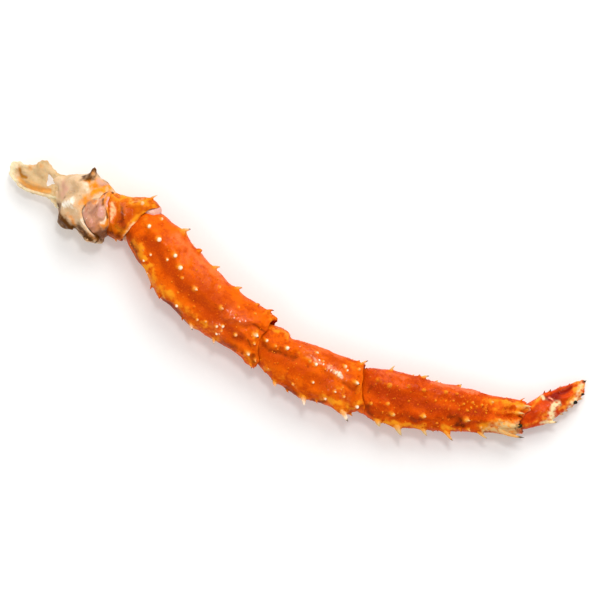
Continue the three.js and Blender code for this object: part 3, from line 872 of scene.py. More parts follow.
def membrane_skin(plan):
    """A bulging bag of skin: a round-ended tube of the given sections, with folds that are
    ridges and furrows along given lines, raised along the normal."""
    first, last = plan["edges"][0][0], plan["edges"][-1][0]
    step, cols = 0.3, 160
    t = np.linspace(0, 1, int((last - first) / step))[:, None]
    full = np.clip(1 - np.abs(2 * t - 1) ** 5, 0, 1) ** 0.4
    turn = np.linspace(0, 2 * np.pi, cols, endpoint=False)[None]
    along = first + (last - first) * t + 0 * turn
    part = round_section(plan, along, turn)
    y = part["across"] + part["breadth"] * part["side"] * full
    z = part["up"] + part["depth"] * part["rise"] * full
    points = np.stack([along, y, z], -1)
    placed = in_place(points, plan["joints"])
    s, v = along + 0.5 * lumps(placed, 6, seed=41), y + 0.5 * lumps(placed, 6, seed=42)
    relief = rise_of(s, v, plan["relief"]) + 0.16 * lumps(placed, 7, seed=43)
    relief += 0.05 * lumps(placed, 2.2, seed=44)
    relief += plan.get("lumpy", 0) * lumps(placed, 13, seed=23)
    points = points + outward(points) * (relief * smooth(full, 0.5, 1))[..., None]
    marks = {mark: stain_of(s, v, strokes)[None] for mark, strokes in plan["stains"].items()}
    return {"points": in_place(points, plan["joints"])[None], "marks": marks}


HIP_MEMBRANE = {
    "joints": ("shoulder", "hip"),
    "edges": [
        (11, -9, 13), (15.5, -11, 15.4), (20, -14.4, 15.8), (27, -19, 15), (33, -18.2, 13.2),
        (38.5, -13.5, 10.4), (41, -11.5, 9.5),
    ],
    "heights": [(11, 2, 29), (16, 1, 30.5), (28, 1.2, 30.1), (38.5, 4, 26.8), (41, 5, 25.4)],
    "lumpy": 0.6,
    "relief": [
        ((19.4, 2), (18.6, -4), (20.4, -9), (25, -13), 1.6, 1), ((20, 3), (26, 10), 1.6, 0.95),
        ((22.5, -3), (25, 2), (28, 9), (30, 13), 1.2, 0.7), ((21, 1), (24, 6), (28, 12), 1, -0.6),
        ((25.5, -6), (28, 0), (31, 7), 0.8, -0.6), ((26, -11), (30, -5), (32, 1), 1.2, 0.6),
        ((24, -10), (27, -5), 0.9, -0.5), ((28, -15), (33, -11), 1.3, 0.6),
        ((19, -8), (22, -12), (28, -16), 1, -0.6), ((34, -2), (34.5, -9), 1, 0.5),
        ((33, 2), (34, 10), 1.2, 0.6),
    ],
    "stains": {
        "rose_and_sheen": [
            ((28.4, 3.4), (29.4, 0), (28.6, -4), 1.4, 0.55), ((31.4, 9), (32.6, 4.6), 0.9, 0.85),
            ((25, -8), (27, -11.5), 1.4, 0.5), ((20, -2), (20.5, -7), 1.4, 0.3),
        ],
        # The deep strokes are painted shade in the folds of the skin.
        "deep_tone_and_shade": [
            ((19, -6), (21, -9), (25, -13), 2, 0.5), ((24, -4), (26, 2), 1.6, 0.5), ((29, -7), 1.6, 0.4),
        ],
        "scorch_and_shade": [
            ((31.5, 2), (33, -1), 1, 0.5), ((34, -1.4), (34.6, -4), 1.2, 0.75),
            ((27.6, 7.4), (29.8, 4.4), 1.1, 0.65), ((24, 2.4), (26.4, -0.6), 0.8, 0.35),
            ((30.6, -5.4), (29.4, -9), 0.9, 0.35), ((26, -13), (32, -10.4), 1.5, 0.5),
            ((19, -11), (27, -17.5), 1, 0.45), ((30, -17.5), (37, -12.5), (41, -10), 3, 0.95),
            ((33, -13), 2.2, 0.5),
        ],
        "gold": [
            ((29, -12), (34, -10), 2, 0.5), ((34.4, -8), (34.6, 0), (31, 12), 2.3, 0.9),
            ((18, 1), (19, 3), (23, 8), (27, 13), 1.7, 0.85), ((29, 5), (30.5, 10), 1.3, 0.65),
            ((23, 3), (26, 9), 1.4, 0.6),
        ],
        "pale": [
            ((32.6, -3.4), (33, -7.6), 0.9, 0.7), ((32.4, -10), (33.4, -11.4), 0.7, 0.4),
            ((17, -2), (17.6, -7), (21, -11), 1.7, 0.5), ((24.4, 3), (25.4, 6), 0.7, 0.35),
        ],
        "wet": [((20, -8), (32, 4), 8, 0.7)],
    },
}
skin_finish = layered(
    "joint_skin", "CC9474", "B87A58",
    {"deep_tone_and_shade": "A8705A", "gold": "EA8A24", "rose_and_sheen": "D6988C", "pale": "F3DDBE", "scorch_and_shade": "7A4418"},
    rough=0.34, bump_mm=0.1, constants=fleshy(0.2, 0.12, 0.1), grain_mm=2.0, coat=0.06,
)
hip_skin = add_piece("hip_skin", [membrane_skin(HIP_MEMBRANE)], skin_finish)
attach(hip_skin, "root")
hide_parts("hip_membrane")

# ------------------------------------------------------------------------ ischium
# The short second segment, a wedge-shaped ring of orange shell. A raised pale ring closes it
# towards the coxa, and its far rim is cut back on the shown face.

# On the shells the deep tone paints shade and the rose tone paints sheen on the upper edges.
SHELL_ORANGE = {
    "deep_tone_and_shade": "B63C02", "gold": "F0921A", "rose_and_sheen": "F87034", "pale": "FAE6CC", "scorch_and_shade": "6C2402",
    "tip": "2E2812",
}
SHELL_SURFACE = {"Specular IOR Level": 0.03, "Coat Roughness": 0.12}
ISCHIUM = {
    "joints": ("hip", "knee"),
    "seed": 32,
    "near": [
        (-1, 8, 4), (-0.75, 5, 2), (-0.4, 1.5, -2), (0, -2.5, -3), (0.5, -7, -6), (0.85, -7, -8),
        (1, -4, -8),
    ],
    "far": [
        (-1, 12.6, 13), (-0.53, 14.4, 15), (-0.04, 17.2, 19), (0.25, 18.2, 22), (0.42, 19.2, 24),
        (0.6, 21, 26), (0.72, 22.8, 26), (0.9, 25.6, 26), (1, 27.4, 27),
    ],
    "edges": [
        (-9, -10.5, 11), (-5, -11.5, 13), (-1, -12.2, 14), (3, -14.4, 14.7), (8, -14.2, 15.6),
        (13, -13.5, 17.8), (17, -13.2, 19.6), (22, -13, 19.4), (27, -12, 17.4),
    ],
    "heights": [(-9, 4, 26.5), (-2, 2, 28.2), (8, 0.5, 28.4), (18, 1, 28), (27, 2, 27)],
    "neck_inset": 0.6,
    "flare": 0.2,
    "lip_pale": 0.3,
    "lip_where": [((14.2, -8.5), (17, 2), 2, 1)],
    "inner_painted_shade": 0.15,
    "relief": [
        ((-5, 12), (-3, 5), (-0.5, -1), (3.5, -7), (8, -11.5), 2, 1.6),
        ((-1.5, 13), (0.5, 6), (3, 0), (7, -6), (10, -10), 1.4, -1.1), ((12, 8), (14, 3), 3, -0.8),
        ((6, 10), (14, 14), (22, 17), 3, 0.7), ((17, 11), (21, 13), 1.6, 0.5),
    ],
    "stains": {
        "scorch_and_shade": [
            ((1.5, -13), (5.5, -12), 3, 0.75), ((10, -11.5), 2.4, 0.75), ((10.4, -8), (11.4, -3), 1.5, 0.4),
            ((7.5, -6.5), 2.4, 0.5), ((2, -10), 2, 0.4), ((5.5, 6), (6.3, 2), (8, -2), 1.8, 0.75),
        ],
        "gold": [
            ((-6, 12), (0, 13), (10, 14), (18, 17), 3.2, 0.8), ((-2, 8), (0, 3), 1.6, 0.5),
            ((0, 10), (4, 4), 1.8, 0.35), ((17, 9), (20, 11), 1.6, 0.75), ((22, 17), (26, 14), 2, 0.5),
            ((7, -6), (10, -8), 2.4, 0.6), ((17, 6), (14.4, -1), (13, -7), 2, 0.75),
            ((5.5, 6), (6.3, 2), 2, 0.4),
        ],
        "rose_and_sheen": [((-2.5, 6), (1, 0), (3.5, -4), 1.4, 0.75)],
        "pale": [
            ((-1.8, 7), (0.6, 1), (2.8, -4), 1.5, 0.8), ((16.6, 0.6), (15.2, -3), (14, -8), 1.6, 1),
            ((13, -10), 1, 0.4), ((8, 14), (14, 16.4), 1.8, 0.42),
        ],
        "deep_tone_and_shade": [((4, 7), (6, 1), (9, -3), 2.8, 0.8), ((11, 7), (12, 2), 3.2, 0.7)],
        "wet": [((5, 5), 8, 0.5)],
    },
    "thorns": [
        (18.6, 19, 22.3, 24, 2, 1.1, 0.95, 0.1), (15.2, 14.2, 16.5, 15, 1.7, 1.6, 1, 0),
        (15.5, 17.5, 16.4, 19.4, 0.8, 0.9, 0.4, 0),
    ],
    "under": [(14, 0.88), (8, -0.9)],
    "warts": 40,
}
ischium_finish = layered(
    "ischium_shell", "D86604", "BC5202", {**SHELL_ORANGE, "pale": "F5BC86"},
    rough=0.4, bump_mm=0.14, constants=SHELL_SURFACE, grain_tint=0.3,
)
ischium = segment("ischium_shell", ISCHIUM, step=0.25, cols=200, finish=ischium_finish)
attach(ischium, "root")
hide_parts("ischium")

# ------------------------------------------------------------------------ knee membrane
# The pink skin between the ischium and the merus, which shows as a smooth pale pad where the
# ischium's rim is cut back. It is grown on to both.

KNEE_MEMBRANE = {
    "joints": ("hip", "knee"),
    "edges": [
        (4, -9, 9), (10, -11.2, 12), (13.6, -12.4, 13.6), (17, -12.2, 15.2), (23, -11, 16.4), (31, -9, 14),
    ],
    "heights": [(4, 6, 20), (12, 4.4, 22.6), (20, 3.4, 23.6), (31, 5, 22)],
    "relief": [
        ((21, 11), (26, 14), 3.4, 3), ((16, -6), (19, 2), (25, 10), 1.2, 0.6),
        ((18, -7), (22, 2), (28, 9), 0.9, -0.6),
    ],
    "stains": {
        "rose_and_sheen": [((17, -6), (21, 4), (26, 13), 4, 1)],
        "pale": [((21, 11), (27, 13), 2, 0.25)],
        "wet": [((16, -8), (26, 12), 9, 1)],
    },
}
knee_skin = add_piece("knee_skin", [membrane_skin(KNEE_MEMBRANE)], skin_finish)
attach(knee_skin, "root")
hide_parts("knee_membrane")

# ------------------------------------------------------------------------ merus
# The longest and broadest segment of cooked shell, orange with a golden band along its lower
# side, filled with meat. Its thorns stand in rows, longest on the two edges, and lean to the claw.

MERUS = {
    "joints": ("knee", "elbow"),
    "seed": 33,
    "near": [
        (-1, -2, -3), (-0.7, -4.5, -4), (-0.3, -7.5, -6), (0, -7.8, -7), (0.5, -6.2, -6), (0.78, -3.4, -4),
        (1, 1, -2),
    ],
    "far": [
        (-1, 117, 116), (-0.62, 116, 114), (-0.4, 112, 112), (-0.22, 109.5, 111), (0.05, 106.4, 109),
        (0.4, 105.6, 108), (0.8, 103.7, 107), (1, 104.8, 106),
    ],
    "edges": [
        (-7, -10.5, 10.5), (-3, -12.5, 12.5), (2, -14.3, 15), (7, -15.8, 16), (12, -16.9, 16.4),
        (17, -17.8, 17.2), (22, -19, 17.4), (27, -20.8, 16.2), (32, -22.8, 15.6), (37, -24.6, 15.2),
        (43, -24.6, 14.3), (50, -24.2, 14.2), (57, -24.4, 14.2), (63, -24.6, 13.6), (69, -24.2, 14.2),
        (74, -22.6, 14.8), (80, -21.5, 14.8), (86, -20.6, 16.2), (92, -18.8, 17), (97, -17.2, 18.2),
        (102, -16.4, 19), (106, -15.9, 18.2), (111, -16.6, 17), (117, -15.5, 15),
    ],
    "heights": [
        (-9, 5, 24.5), (-5, 3, 28), (4, 1.5, 29.4), (20, 0, 31), (45, -0.5, 32.5), (70, -0.5, 32),
        (95, 0.5, 30.5), (111, 2, 28), (117, 3, 26.5),
    ],
    "ragged": 0.5,
    "neck_inset": 0.3,
    "neck_painted_shade": 0.1,
    "inner_painted_shade": 0.15,
    "relief": [
        ((3, 4), (13.8, 2.4), (28.8, 2.2), (37, -1.2), (54, -4.3), (74.4, -1.4), (88, 3), 3.6, 0.7),
        ((8, -11), (17, -14.2), (26, -17.5), (36, -20.4), (50, -20), (62, -18.6), (75, -16.5), 2.8, 0.9),
        ((8, -5), (22, -8), (38, -11), (55, -12), (70, -9.5), 3.6, -1),
        ((12, 9), (30, 8.5), (50, 4.5), (64, 4), 3.4, -0.35),
        ((80, -3), (86, 0.5), (93, 4), (99, 7.5), 2.3, 1),
        ((84, -5), (90, -3), (96, 1.5), (102, 6), (106, 8), 2.3, -0.9),
        ((87, -9), (94, -9), (100, -7), 3.6, -1), ((80, -13), (86, -14), (92, -14), 2.4, 0.7),
        ((96, -4), (103, -1), 2, 0.8), ((100, -12.5), (107, -12), 2.2, 0.8),
        ((48, -22), (58, -21.6), 2.6, -0.5), ((104, 12), (98, 13), 3, 0.5),
    ],
    "rings": [(3.2, 1.2, -0.35)],
    # On this shell the deep strokes are painted shade, the rose strokes along the upper edge are painted
    # sheen, the pale speckles and the rose stroke on the far ridge are painted highlights, and the scorch
    # strokes along the lower edge and in the crevices at the far end are painted shade.
    "speckles_and_glints": {"pale": [((82, 0), (92, 4), 1.8, 0.6), ((80, -12), (85, -14), 3, 0.3)]},
    "stains": {
        "scorch_and_shade": [
            ((-4, -8), (2, -11.5), (8, -14.5), (15, -17.5), 2.2, 0.6),
            ((43, -24.5), (54, -24), (64, -25), 2.6, 0.75), ((48, -22.4), (57, -21.6), 2.2, 0.2),
            ((4.5, 2), (6.5, -3), 2.2, 0.35), ((88, -8.5), (97, -7), 3, 0.3),
            ((90, -17.5), (99, -14.5), 2.6, 0.6), ((98, 4.6), (106, 7.5), 1.4, 0.65),
            ((102, -3.8), (104.4, -6), 1.3, 0.7), ((105, -13), 1.3, 0.6),
            ((111, -9), (114, -12.5), 1.5, 0.7), ((50.6, -5.6), 1.2, 0.6), ((70.6, -3), 1, 0.45),
            ((-2, 8), (-4, 3), 1, 0.3), ((96, 1.4), 1.2, 0.4), ((14, -18), (22, -19.5), 0.9, 0.5),
            ((26, -21.5), (36, -25), 0.9, 0.35),
        ],
        "gold": [
            ((3, -10), (11, -14), (20, -16.6), (27.5, -19.6), (36, -21.6), (43, -21), 3.2, 0.62),
            ((12, -12), (28, -17), (40, -18), 2.6, 0.3), ((8, -9.5), (14, -12.5), (22, -15), 2.6, 0.75),
            ((43, -20), (53, -19), (63, -18.4), (74, -16.8), 2.8, 0.55), ((75, -16), (84, -16), 2.8, 0.45),
            ((6, 6), (12, 8), 3, 0.2), ((98, 17), (105, 16), 2.4, 0.4), ((-1, 2), (-2, 8), 1.6, 0.4),
            ((102, 2.5), (103, 1), 1.6, 0.5), ((108, -13), (114, -13), 2.6, 0.5),
            ((58, -23.5), (72, -23), 1.5, 0.5), ((86, -19.5), 2.4, 0.8), ((20, 18), (24, 18), 1.8, 0.6),
            ((52, 14.5), (56, 15), 1.6, 0.6), ((72, 15), (76, 15.5), 1.6, 0.5),
        ],
        "rose_and_sheen": [
            ((21, 13), (30, 12), (40, 10.6), (52, 12), (62, 12), 2.8, 0.6), ((20, 8), (34, 7), 2.4, 0.2),
            ((83, -1), (92, 3.6), 1.6, 0.5), ((92, -6.5), (97, -5), 1.4, 0.2),
        ],
        "deep_tone_and_shade": [
            ((8, -3), (22, -4), (34, -7), (50, -9), (62, -8), (76, -8), 5, 0.85),
            ((54, 0), (76, 1), 5, 0.7), ((84, -8), (97, -7), 4, 0.9), ((66, -13), (78, -12), 3, 0.4),
            ((30, -1), (50, -3), 3, 0.3), ((100, 0), (104, 4), 2.4, 0.4),
        ],
        "pale": [((-5.5, 4), (-6, -4), 0.7, 0.3)],
        "wet": [((22, 8), (60, 8), 6, 0.4), ((80, -2), (94, 4), 4, 0.9), ((80, -12), (86, -14), 5, 0.6)],
    },
    "thorns": [
        (20, 16.2, 23.9, 21.8, 2, 2.5, 0.75, 0.7), (36.4, 14.3, 39.1, 16.7, 1.2, 2.1, 0.35, 0.2),
        (51.6, 13.5, 55, 17.4, 1.4, 2.1, 0.5, 0.3), (71.7, 13.9, 75, 17.6, 1.4, 2.1, 0.45, 0.35),
        (88.5, 15.7, 91, 17.7, 1, 1.7, 0.35, 0.1), (96.8, 17.1, 100.4, 21.4, 1.2, 1.6, 0.3, 1),
        (103, 17, 106, 19, 0.4, 2, 0.25, 0), (2.6, 4, 3.6, 4.4, 1.5, 1.35, 1, 0),
        (13.2, 2.4, 14.6, 2.9, 1.9, 1.7, 1, 0), (4.9, 13, 5.9, 13.9, 1, 1.2, 0.7, 0),
        (28.2, 2.2, 29.6, 2.6, 1.7, 1.45, 1, 0), (26.5, -3.4, 27.4, -3.2, 1.1, 0.95, 0.9, 0),
        (36, -1.2, 38, -1, 1.9, 1.75, 1, 0), (41.9, -5.1, 43, -5, 0.9, 1.1, 0.5, 0),
        (52.4, -4.4, 55.2, -3.8, 2, 1.5, 0.7, 0), (63.6, 7.6, 64.7, 7.9, 0.9, 1.1, 0.45, 0),
        (73.6, -1.6, 76, -1, 1.5, 1.3, 0.65, 0), (82, 6.8, 82.9, 7, 0.7, 0.9, 0.4, 0),
        (84.2, 1.7, 85.1, 1.9, 0.6, 0.9, 0.4, 0), (10.6, -9.8, 11.3, -9.8, 0.6, 0.8, 0.5, 0),
        (15.6, -14, 16.6, -14.3, 1.1, 1.1, 1, 0), (16.2, -8.8, 17, -8.8, 0.8, 0.9, 0.8, 0),
        (22.4, -17.8, 24, -19, 0.6, 1.2, 0.7, 0), (30.4, -18.4, 31.2, -18.6, 0.7, 0.9, 0.4, 0),
        (51.6, -20.4, 52.9, -20.9, 1.5, 1.3, 1, 0), (67.8, -17.7, 68.9, -17.9, 1, 1, 0.8, 0),
        (72.6, -14.9, 73.5, -15, 0.9, 0.9, 0.6, 0), (80.1, -12.3, 81.1, -12.3, 1.1, 1, 0.9, 0),
        (83, -9.5, 84.1, -9.5, 1.2, 1.1, 0.85, 0.1), (83.3, -15.6, 84.3, -15.8, 1, 1, 1, 0),
        (84.4, -12.2, 85.2, -12.2, 0.8, 0.8, 0.6, 0), (84, -19, 87.4, -22.2, 0.5, 1.7, 0.8, 0.6),
        (66.6, -22.6, 70.9, -25.4, 0.4, 1.9, 0.8, 0.7), (38, -23, 41, -25.6, 0, 1.7, 0.2, 0.2),
        (93, -7.9, 94.4, -7.7, 1.3, 1.3, 0.6, 0), (101.6, 2, 105.6, 1.2, 2.2, 1.7, 0.95, 1),
        (105.4, -3.2, 107.2, -3.6, 1.4, 1.3, 0.6, 0), (106.8, -10.3, 109.4, -11.4, 1.8, 1.5, 0.9, 0.4),
        (112.6, -14.4, 116.4, -16.4, 0.8, 1.3, 0.5, 0.9), (112.8, -10.6, 115.6, -11.4, 1.2, 1.1, 0.6, 0.3),
        (59, 10.4, 59.8, 10.6, 0.6, 0.8, 0.35, 0), (45, 5.4, 45.8, 5.6, 0.5, 0.8, 0.3, 0),
        (46.6, -14.2, 47.4, -14.2, 0.6, 0.8, 0.3, 0), (60.6, -13.4, 61.4, -13.4, 0.6, 0.8, 0.3, 0),
        (92.6, 11.4, 93.5, 11.6, 0.7, 0.9, 0.35, 0), (30.6, -24, 32, -25.4, -1, 1.2, 0.2, 0.2),
        (59.6, -23.6, 61.6, -25.4, -1, 1.2, 0.3, 0.2),
    ],
    "under": [
        (14, 0.86), (30, 0.9), (46, 0.84), (62, 0.9), (78, 0.86), (94, 0.9), (12, -0.9), (26, -0.84),
        (40, -0.92), (55, -0.86), (70, -0.9), (86, -0.86), (101, -0.9), (22, 0.72), (54, 0.7), (86, 0.74),
        (34, -0.72), (64, -0.72), (96, -0.74),
    ],
    "warts": 210,
}
shell_finish = layered(
    "leg_shell", "E46002", "C04200", SHELL_ORANGE,
    rough=0.4, bump_mm=0.14, constants=SHELL_SURFACE, grain_tint=0.3,
)
merus = segment("merus_shell", MERUS, step=0.42, cols=256, finish=shell_finish)
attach(merus, "root")
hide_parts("merus")

# ------------------------------------------------------------------------ carpus
# The middle segment of shell, with a stepped ridge at its near end and wet, grainy skin along
# its upper half. It turns in the merus's rim, and its longest thorn points down past the wrist.

CARPUS = {
    "joints": ("elbow", "wrist"),
    "seed": 34,
    "near": [
        (-1, 3, 0), (-0.8, 2, -1), (-0.3, -2, -3), (0, -3, -4), (0.4, -2.5, -4), (0.7, -1.5, -4),
        (1, -1, -3),
    ],
    "far": [
        (-1, 79.5, 79.5), (-0.7, 79.5, 78), (-0.4, 76.5, 76), (-0.15, 74, 75), (0.2, 71.3, 73),
        (0.6, 69, 71), (0.85, 67.4, 69), (1, 67.6, 67.6),
    ],
    "edges": [
        (-7, -9, 12.6), (-3, -10.5, 13.8), (1, -12.4, 14.3), (5, -14.2, 14.4), (9, -16, 14.2),
        (12, -16.9, 13.2), (15, -18.2, 11.4), (18, -19.8, 11.2), (24, -20, 12.3), (31, -20.8, 13.2),
        (37, -21.6, 13.9), (43, -20.8, 14.3), (50, -19.8, 14.9), (57, -18.6, 15.4), (63, -18.5, 16.2),
        (68, -17.6, 16.4), (74, -15.2, 14.6), (80, -14, 12.5),
    ],
    "heights": [
        (-7, 5, 24.5), (-3, 3.4, 26.8), (2, 1.8, 28.2), (12, 0.8, 29.2), (20, 0.3, 28.8), (40, -0.5, 28.9),
        (60, 0, 28.2), (74, 1.5, 26.6), (80, 2.5, 25.5),
    ],
    "ragged": 0.4,
    "neck_inset": 0.3,
    "neck_painted_shade": 0.15,
    "inner_painted_shade": 0.3,
    "relief": [
        ((1, 9), (8, 11), (12, 11.5), 3.2, 0.9), ((13.8, 13), (14.6, 9), 1.3, 0.8),
        ((0, 4), (8, 3.2), (16, 4), (26, 6), (36, 9), 1.9, 1.1),
        ((1, -1), (8, -2), (16, -1.3), (24, 0.6), (30, 1.8), 2.6, -1),
        ((30, 7), (44, 5), (58, 2.6), (68, 3), 2, 0.8),
        ((36, 1), (48, -1), (60, -1.6), (67, -1.4), 2, -0.6),
        ((8, -8), (24, -11), (40, -13), (54, -13), 3, 0.6),
        ((26, -17), (40, -18.2), (52, -17.6), 1.7, -0.8), ((60, -15), (66, -17), (71, -19), 2.2, 1),
        ((64, -8), (72, -10), 2.6, 0.5), ((40, 12), (56, 13), 3, 0.3),
    ],
    "rings": [(2.8, 1.1, -0.5), (5.4, 1.4, 0.25)],
    # On this shell the pale speckles, the pale strokes and the rose strokes on the upper half are painted
    # wet glints and sheen, the deep strokes are painted shade, and the scorch stroke along the groove at
    # the near end is painted shade.
    "speckles_and_glints": {
        "pale": [
            ((24, 8), (32, 7.7), 1.6, 0.3), ((38, 6.6), (46, 5.4), 2.4, 0.4),
            ((49, 4), (58, 2.6), 2.6, 0.45), ((50, -8), (58, -6), 3, 0.2),
        ],
    },
    "stains": {
        "scorch_and_shade": [
            ((1, -0.6), (8, -1.4), (16, -0.8), (24, 0.8), 2.2, 0.6), ((0, -4), (3, -9), 2, 0.5),
            ((26, -20), (37, -20.4), 2, 0.7), ((46, -19.6), (53, -18.4), 2, 0.65),
            ((60.5, -0.9), (68, -1.4), 1.6, 0.55), ((33.6, 0.7), 1.2, 0.6), ((72, -14), 1.6, 0.5),
            ((13.5, 2.2), 1.2, 0.6), ((-0.5, 6), 1, 0.4), ((64.5, -5), 1, 0.3),
            ((15, -18), (19, -19.5), 1, 0.45), ((76, -12), (78, -8), 1.2, 0.5),
        ],
        "gold": [
            ((1, 12), (8, 12.5), (13, 12), 2.2, 0.65), ((8, -13), (20, -15), (32, -15.6), 2, 0.35),
            ((52, -15.5), (68, -14), 2.6, 0.85), ((73, -13), (75, -7), 2.2, 0.7),
            ((58, -5), (66, -8), 2.4, 0.45), ((68, 4), (71, -2), 1.8, 0.45), ((24, 2.6), (34, 5), 1.4, 0.4),
            ((60, 12), (66, 12), 3, 0.35), ((9, -15), (13, -14), 1.6, 0.4),
        ],
        "rose_and_sheen": [
            ((26, 6), (34, 6), (42, 5), (50, 5), (56, 3), 2, 0.3), ((36, 12), (52, 13), 1.6, 0.35),
            ((47, -3), (54, -6), 2.4, 0.25),
        ],
        "deep_tone_and_shade": [
            ((8, -5), (24, -6), (40, -6), (54, -7), 4, 0.6), ((40, 11.5), (54, 11.5), 2.2, 0.6),
            ((16, 0), (34, 0), 2.6, 0.4), ((70, -4), (74, -10), 1.8, 0.4),
        ],
        "pale": [
            ((52, 3.8), (57, 2.4), 1.6, 0.5), ((37, 3.6), (41, 4.4), 1.3, 0.34),
            ((31, 6), (36, 5.4), 1.2, 0.36), ((45, 6.6), (48, 6), 1.2, 0.3),
            ((47, 4.4), (51, 3.6), 1.3, 0.4),
        ],
        "wet": [((30, 8), (38, 6.4), 3, 0.7), ((50, 4.4), (58, 2.6), 3.2, 1), ((50, -6), (66, -8), 4, 0.5)],
    },
    "thorns": [
        (2.1, 3, 3.2, 3.2, 1.4, 1.25, 0.9, 0), (8.9, 2.4, 9.9, 2.5, 0.9, 0.95, 0.45, 0),
        (15.9, 4.3, 17.6, 4.6, 1.9, 1.55, 1, 0), (35, 9.6, 36.8, 9.9, 1.3, 1.2, 0.8, 0),
        (33.4, 2.9, 34.8, 3, 1.2, 1.2, 0.5, 0), (37.8, 2.8, 39.2, 2.9, 1.5, 1.3, 1, 0),
        (55.8, 9.6, 57.2, 9.9, 1.3, 1.35, 0.75, 0), (58.3, 7.9, 59.2, 8, 0.8, 0.8, 1, 0),
        (54.4, 2.4, 55.8, 2.2, 0.8, 1.2, 0.7, 0), (64.6, 14.6, 68.6, 19.6, 1.4, 1.4, 0.6, 1),
        (62, 15, 63.6, 17.2, 0.8, 0.9, 0.3, 0.8), (64.8, 11.6, 66.3, 12.1, 1, 1.2, 0.6, 0),
        (66, 3.4, 70, 2.8, 1.6, 1.6, 0.95, 1), (73.6, -10.6, 75.8, -11.4, 1.7, 1.5, 1, 0),
        (65.6, -16, 73.4, -22.6, 0.2, 3, 0.95, 0.8), (63.4, -8.4, 64.8, -8.7, 0.9, 1.1, 0.6, 0),
        (52.6, -14.9, 54.1, -15.3, 1.5, 1.3, 0.9, 0), (39.4, -19.6, 43, -25.4, 0.2, 2.7, 0.95, 0.1),
        (56.6, -7.9, 58.2, -8.4, 1, 0.95, 0.8, 0), (41.2, -8.7, 42.2, -9.1, 1, 0.9, 0.85, 0),
        (29.6, -15.4, 30.9, -15.8, 1.3, 1.3, 0.6, 0), (17.6, -18.6, 20.4, -21.8, 0.5, 2, 0.75, 0),
        (27.2, -20.2, 29.8, -22, 0, 1.4, 0.35, 0.2), (10.2, -12.8, 11.6, -13.2, 1, 1, 0.5, 0),
        (8.6, -15.2, 11, -16.4, 0.3, 1.2, 0.3, 0.4), (47.6, 6.2, 48.4, 6.3, 0.7, 0.7, 0.6, 0),
        (41.6, 6.6, 42.5, 6.7, 0.7, 0.8, 0.6, 0), (45, 2.6, 45.8, 2.6, 0.6, 0.7, 0.5, 0),
        (50.6, 3.4, 51.5, 3.4, 0.7, 0.8, 0.6, 0), (22.6, -7.4, 23.4, -7.5, 0.5, 0.8, 0.3, 0),
        (47.6, -17.8, 50, -20.4, -0.6, 1.3, 0.3, 0.2), (60.4, -3.6, 61.3, -3.7, 0.7, 0.8, 0.4, 0),
        (24.4, 9.2, 25.2, 9.3, 0.5, 0.8, 0.3, 0), (70.6, -16.2, 74.6, -18, -0.8, 1.3, 0.5, 0.5),
    ],
    "under": [
        (10, 0.84), (26, 0.9), (42, 0.86), (58, 0.9), (12, -0.88), (26, -0.86), (40, -0.9), (54, -0.86),
        (68, -0.9), (34, 0.72), (50, -0.72), (20, -0.7),
    ],
    "warts": 190,
    "grainy": 0.14,
}
carpus_piece = segment("carpus_shell", CARPUS, step=0.4, cols=230, finish=shell_finish)
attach(carpus_piece, "root")
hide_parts("carpus")

# ------------------------------------------------------------------------ propodus
# The long tapering segment before the claw, grainier and redder than the others. Long slender
# thorns comb its lower edge, and its far rim ends in pale teeth round the claw.

